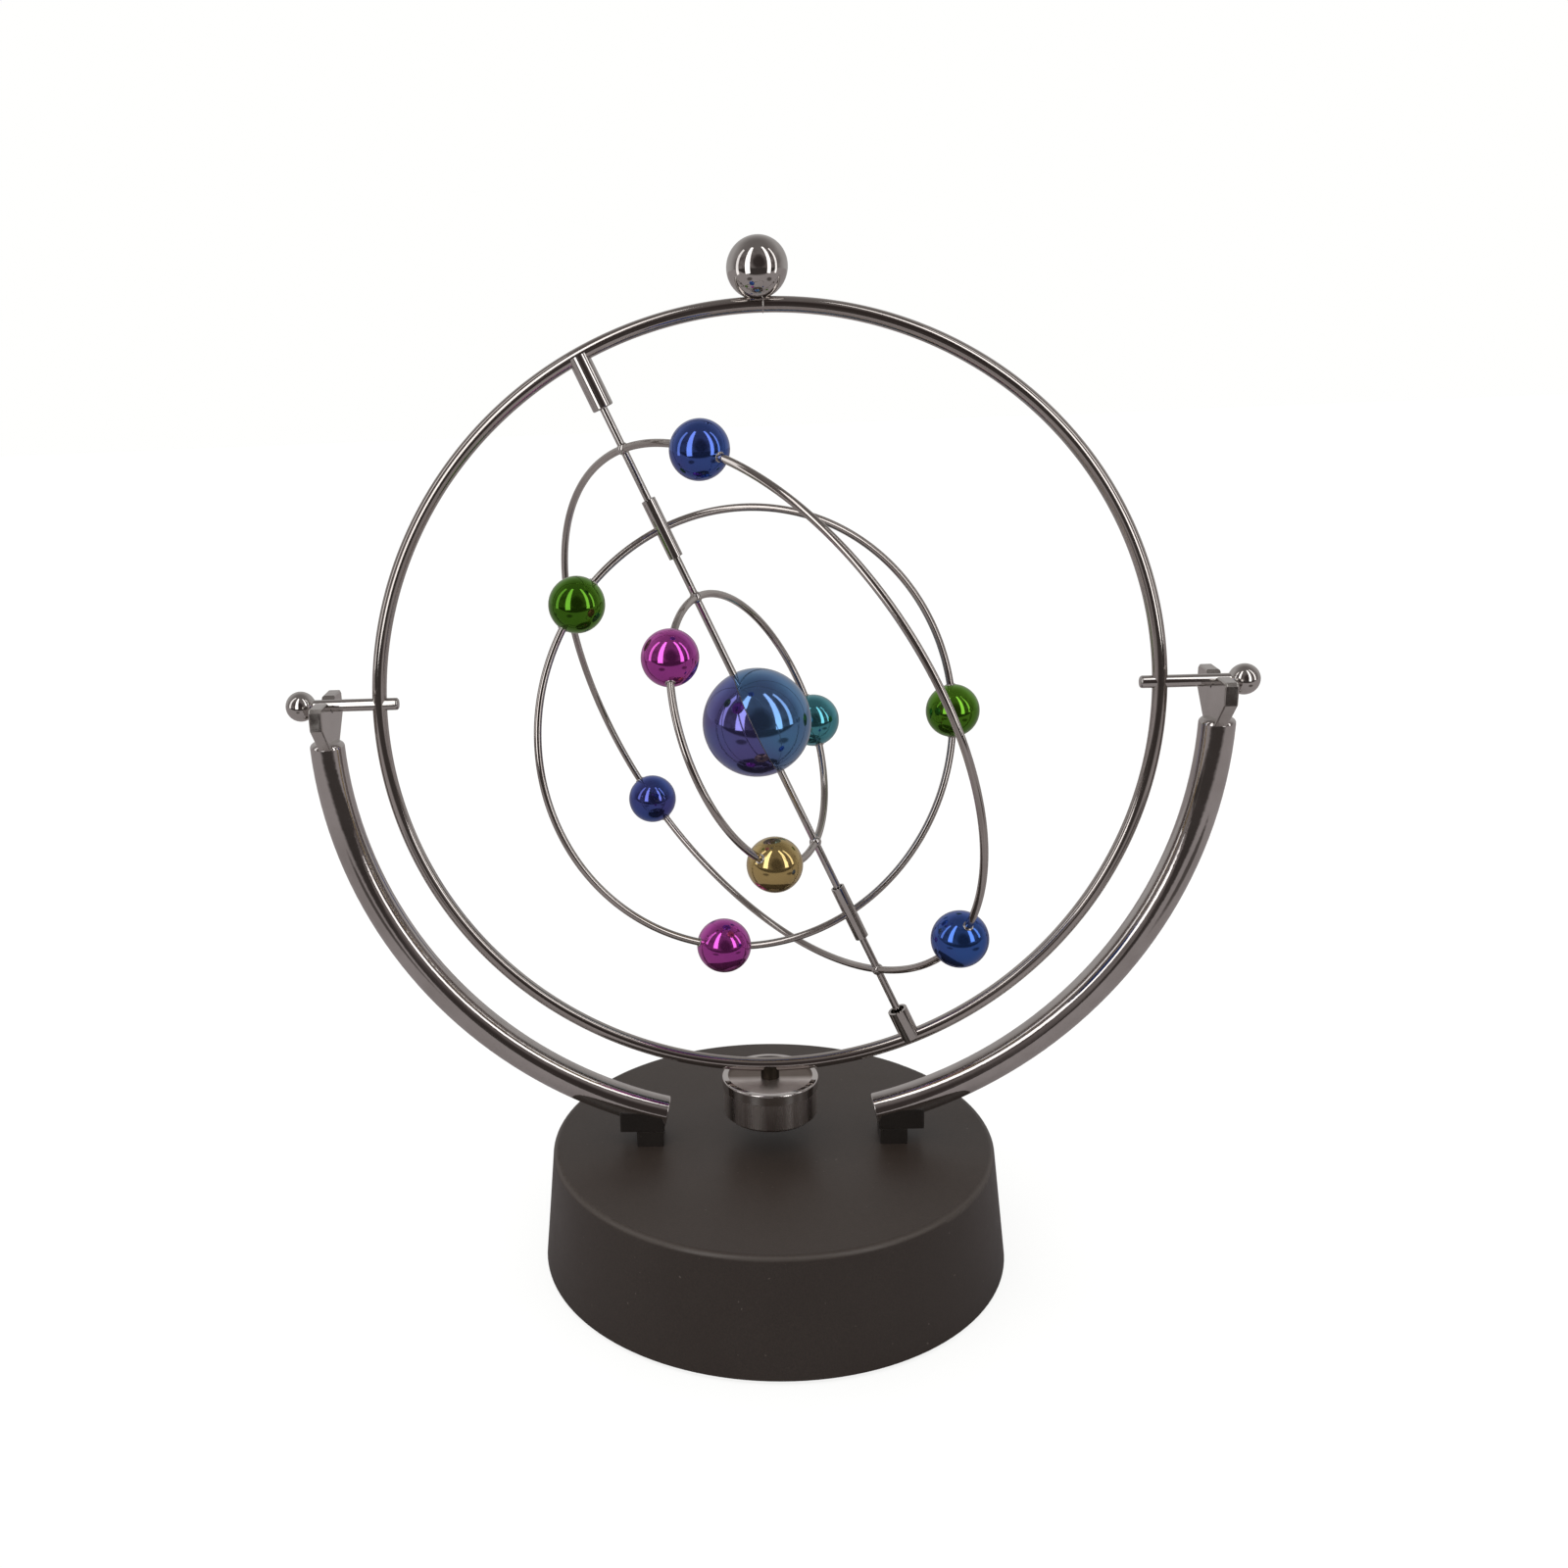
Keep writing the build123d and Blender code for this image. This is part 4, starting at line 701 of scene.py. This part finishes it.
# ---- Coloured balls ---------------------------------------------------------
# Hollow balls with a bright vacuum-metallised skin under tinted lacquer.  The
# lacquer is a little thicker on one side, so each colour shifts over the ball.
def make_lacquered(name, colour, shifted, limb):
    """Tinted mirror finish over a body colour, drifting from one tint to another."""
    material, tree, shader = start_material(name)
    place = object_place(tree)
    drift = add_noise(tree, 42.0, 2.0, 0.5, place)
    tinted = blend_colours(tree, spread(tree, drift, 0.38, 0.62, 0.0, 1.0), colour, shifted)
    rim = tree.nodes.new("ShaderNodeLayerWeight")
    rim.inputs["Blend"].default_value = 0.35
    toward_rim = blend_colours(tree, spread(tree, rim.outputs["Facing"], 0.25, 0.95, 0.0, 0.7), tinted, limb)
    tree.links.new(toward_rim, shader.inputs["Base Color"])
    fine = add_noise(tree, 420.0, 3.0, 0.6, place)
    tree.links.new(spread(tree, fine, 0.35, 0.75, 0.05, 0.10), shader.inputs["Roughness"])
    tree.links.new(add_bump(tree, drift, 0.00006), shader.inputs["Normal"])
    shader.inputs["Metallic"].default_value = 0.94
    return material


blue_lacquer = make_lacquered("blue lacquer", (0.06, 0.15, 0.50), (0.10, 0.10, 0.38), (0.12, 0.16, 0.40))
green_lacquer = make_lacquered("green lacquer", (0.13, 0.34, 0.025), (0.075, 0.22, 0.015), (0.16, 0.32, 0.06))
magenta_lacquer = make_lacquered(
    "magenta lacquer", (0.74, 0.13, 0.58), (0.46, 0.07, 0.42), (0.55, 0.17, 0.48))
teal_lacquer = make_lacquered("teal lacquer", (0.12, 0.46, 0.54), (0.09, 0.33, 0.40), (0.19, 0.44, 0.47))
gold_lacquer = make_lacquered("gold lacquer", (0.74, 0.56, 0.24), (0.50, 0.37, 0.15), (0.62, 0.52, 0.32))
dress(blue_lacquer, "outer_ball_1", "outer_ball_2", "outer_ball_3")
dress(green_lacquer, "middle_ball_1", "middle_ball_2")
dress(magenta_lacquer, "middle_ball_3", "inner_ball_1")
dress(teal_lacquer, "inner_ball_2")
dress(gold_lacquer, "inner_ball_3")
violet_shell = make_lacquered(
    "violet-blue lacquer", (0.12, 0.23, 0.58), (0.16, 0.15, 0.44), (0.20, 0.22, 0.42))
sky_blue_shell = make_lacquered(
    "sky-blue lacquer", (0.12, 0.34, 0.60), (0.13, 0.22, 0.48), (0.20, 0.28, 0.46))
dress(violet_shell, "big_ball_left")
dress(sky_blue_shell, "big_ball_right")

# The two halves of the big ball are pressed together; the joint shows as a fine
# dark line with a bright edge, in a plane that holds the axle.
PARTING_TURN = radians(-1.0)
SEAM_HALF = 0.00012
seam_metal = make_metal("seam metal", (0.20, 0.19, 0.22), (0.18, 0.34), 700.0, 0.000004)
heart_low, heart_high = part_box("big_ball_left")
big_radius = (heart_high.y - heart_low.y) / 2
side_way = Vector((-axle_way.z, 0.0, axle_way.x))
parting_way = side_way * cos(PARTING_TURN) + Vector((0.0, 1.0, 0.0)) * sin(PARTING_TURN)
seam = build_piece("big_ball_seam", [(bent_wire, bent_sizes, {
    "Radius": big_radius - SEAM_HALF / 3, "Wire Radius": SEAM_HALF, "Start": 0.0, "Sweep": FULL_TURN,
    "Steps": 181, "Sides": 10, "Place": heart, "Turn": facing(axle_way, parting_way), "Material": seam_metal,
})])
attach(seam, "axle")


# ---- Floor ------------------------------------------------------------------
# Plain pale table top.  Its darker near edge and the feet of two lamps show only
# in what the object mirrors.
FLOOR_REACH = 3.0
floor_mesh = bpy.data.meshes.new("floor")
floor_mesh.from_pydata(
    [(-FLOOR_REACH, -FLOOR_REACH, 0.0), (FLOOR_REACH, -FLOOR_REACH, 0.0),
     (FLOOR_REACH, FLOOR_REACH, 0.0), (-FLOOR_REACH, FLOOR_REACH, 0.0)],
    [], [(0, 1, 2, 3)],
)
floor = bpy.data.objects.new("floor", floor_mesh)
bpy.context.scene.collection.objects.link(floor)
floor_paper, floor_tree, floor_shader = start_material("floor paper")
floor_shader.inputs["Roughness"].default_value = 0.9
floor_shader.inputs["Specular IOR Level"].default_value = 0.1
floor_seen = floor_tree.nodes.new("ShaderNodeLightPath").outputs["Is Camera Ray"]
floor_place = object_place(floor_tree)
floor_parts = floor_tree.nodes.new("ShaderNodeSeparateXYZ")
floor_tree.links.new(floor_place, floor_parts.inputs["Vector"])
table_fade = spread(floor_tree, floor_parts.outputs["Y"], -0.46, -0.36, 1.0, 0.0)
table_tone = blend_colours(floor_tree, table_fade, (0.235, 0.215, 0.215), (0.035, 0.029, 0.027))
for lamp_foot in ((-0.165, -0.225, 0.0), (0.235, -0.15, 0.0)):
    foot_spot = floor_tree.nodes.new("ShaderNodeVectorMath")
    foot_spot.operation = "DISTANCE"
    floor_tree.links.new(floor_place, foot_spot.inputs[0])
    foot_spot.inputs[1].default_value = lamp_foot
    foot_mask = spread(floor_tree, foot_spot.outputs["Value"], 0.045, 0.075, 0.85, 0.0)
    table_tone = blend_colours(floor_tree, foot_mask, table_tone, (0.04, 0.033, 0.03))
floor_colour = blend_colours(floor_tree, floor_seen, table_tone, (0.13, 0.13, 0.13))
floor_tree.links.new(floor_colour, floor_shader.inputs["Base Color"])
floor_shader.inputs["Emission Color"].default_value = (1.0, 1.0, 0.99, 1.0)
floor_tree.links.new(
    calculate(floor_tree, "MULTIPLY", floor_seen, 0.84), floor_shader.inputs["Emission Strength"])
floor_mesh.materials.append(floor_paper)


# ---- Light ------------------------------------------------------------------
# A pale room with tall soft windows, darker behind the camera, and one broad
# soft light overhead.
sky = bpy.data.lights.new("overhead", "SUN")
sky.energy = 2.4
sky.angle = radians(90.0)
sky_holder = bpy.data.objects.new("overhead", sky)
bpy.context.scene.collection.objects.link(sky_holder)
sky_holder.rotation_euler = (radians(14.0), radians(-10.0), 0.0)
sky_holder.visible_glossy = False


def add_strip(name, turn, distance, width, foot, top, radiance):
    """Tall soft light standing beside the camera, seen in the bright metal only."""
    outward = Vector((sin(radians(turn)), -cos(radians(turn)), 0.0))
    lamp = bpy.data.lights.new(name, "AREA")
    lamp.shape = "RECTANGLE"
    lamp.size = width
    lamp.size_y = top - foot
    lamp.energy = radiance * pi * lamp.size * lamp.size_y
    holder = bpy.data.objects.new(name, lamp)
    bpy.context.scene.collection.objects.link(holder)
    holder.location = outward * distance + Vector((0.0, 0.0, (foot + top) / 2))
    holder.rotation_euler = outward.to_track_quat("Z", "Y").to_euler()
    holder.visible_camera = False
    holder.visible_diffuse = False


add_strip("left_inner", -37.0, 0.29, 0.095, 0.115, 1.00, 2.1)
add_strip("left_outer", -80.0, 0.30, 0.060, 0.130, 0.62, 1.2)
add_strip("right_inner", 45.0, 0.29, 0.070, 0.115, 1.00, 2.1)
add_strip("right_outer", 74.0, 0.30, 0.042, 0.130, 0.66, 1.6)

room = bpy.data.worlds.new("room")
bpy.context.scene.world = room
room.use_nodes = True
room_tree = room.node_tree
room_shader = room_tree.nodes["Background"]
room_direction = room_tree.nodes.new("ShaderNodeTexCoord").outputs["Generated"]
room_parts = room_tree.nodes.new("ShaderNodeSeparateXYZ")
room_tree.links.new(room_direction, room_parts.inputs["Vector"])
behind_share = spread(room_tree, room_parts.outputs["Y"], -0.15, 0.55, 0.0, 1.0)
blotches = add_noise(room_tree, 2.6, 3.0, 0.6, room_direction)
near_walls = blend_colours(
    room_tree, spread(room_tree, blotches, 0.40, 0.60, 0.0, 1.0), (0.24, 0.215, 0.210), (0.12, 0.10, 0.098))
surroundings = blend_colours(room_tree, behind_share, near_walls, (0.47, 0.455, 0.45))
ceiling_share = spread(room_tree, room_parts.outputs["Z"], 0.55, 0.98, 0.0, 1.0)
surroundings = blend_colours(room_tree, ceiling_share, surroundings, (0.20, 0.185, 0.18))
doorway = room_tree.nodes.new("ShaderNodeVectorMath")
doorway.operation = "DOT_PRODUCT"
room_tree.links.new(room_direction, doorway.inputs[0])
doorway.inputs[1].default_value = (0.10, -0.95, 0.28)
surroundings = blend_colours(
    room_tree, spread(room_tree, doorway.outputs["Value"], 0.86, 0.95, 0.0, 0.95),
    surroundings, (0.045, 0.036, 0.034))
room_seen = room_tree.nodes.new("ShaderNodeLightPath")
bounced = blend_colours(
    room_tree, room_seen.outputs["Is Diffuse Ray"], surroundings, (0.80, 0.80, 0.80))
room_colour = blend_colours(
    room_tree, room_seen.outputs["Is Camera Ray"], bounced, (1.0, 1.0, 0.99))
room_tree.links.new(room_colour, room_shader.inputs["Color"])


# ---- Camera -----------------------------------------------------------------
# Stands in front, a little above the ring's middle, and looks down at the base.
CAMERA_PLACE = Vector((-0.0089, -0.35298, 0.22314))
lens = bpy.data.cameras.new("camera")
lens.sensor_width = 36.0
lens.lens = 36.74
lens.shift_x = 0.10
lens.shift_y = 0.03125
lens.clip_start = 0.02
lens.clip_end = 30.0
camera = bpy.data.objects.new("camera", lens)
bpy.context.scene.collection.objects.link(camera)
turn, dip, lean = radians(-3.77), radians(17.85), radians(-2.54)
ahead = Vector((sin(turn) * cos(dip), cos(turn) * cos(dip), -sin(dip)))
level = Vector((cos(turn), -sin(turn), 0.0))
upright = level.cross(ahead)
across = level * cos(lean) + upright * sin(lean)
upward = upright * cos(lean) - level * sin(lean)
pose = Matrix((across, upward, -ahead)).transposed().to_4x4()
pose.translation = CAMERA_PLACE
camera.matrix_world = pose
bpy.context.scene.camera = camera
bpy.context.scene.view_settings.view_transform = "Standard"
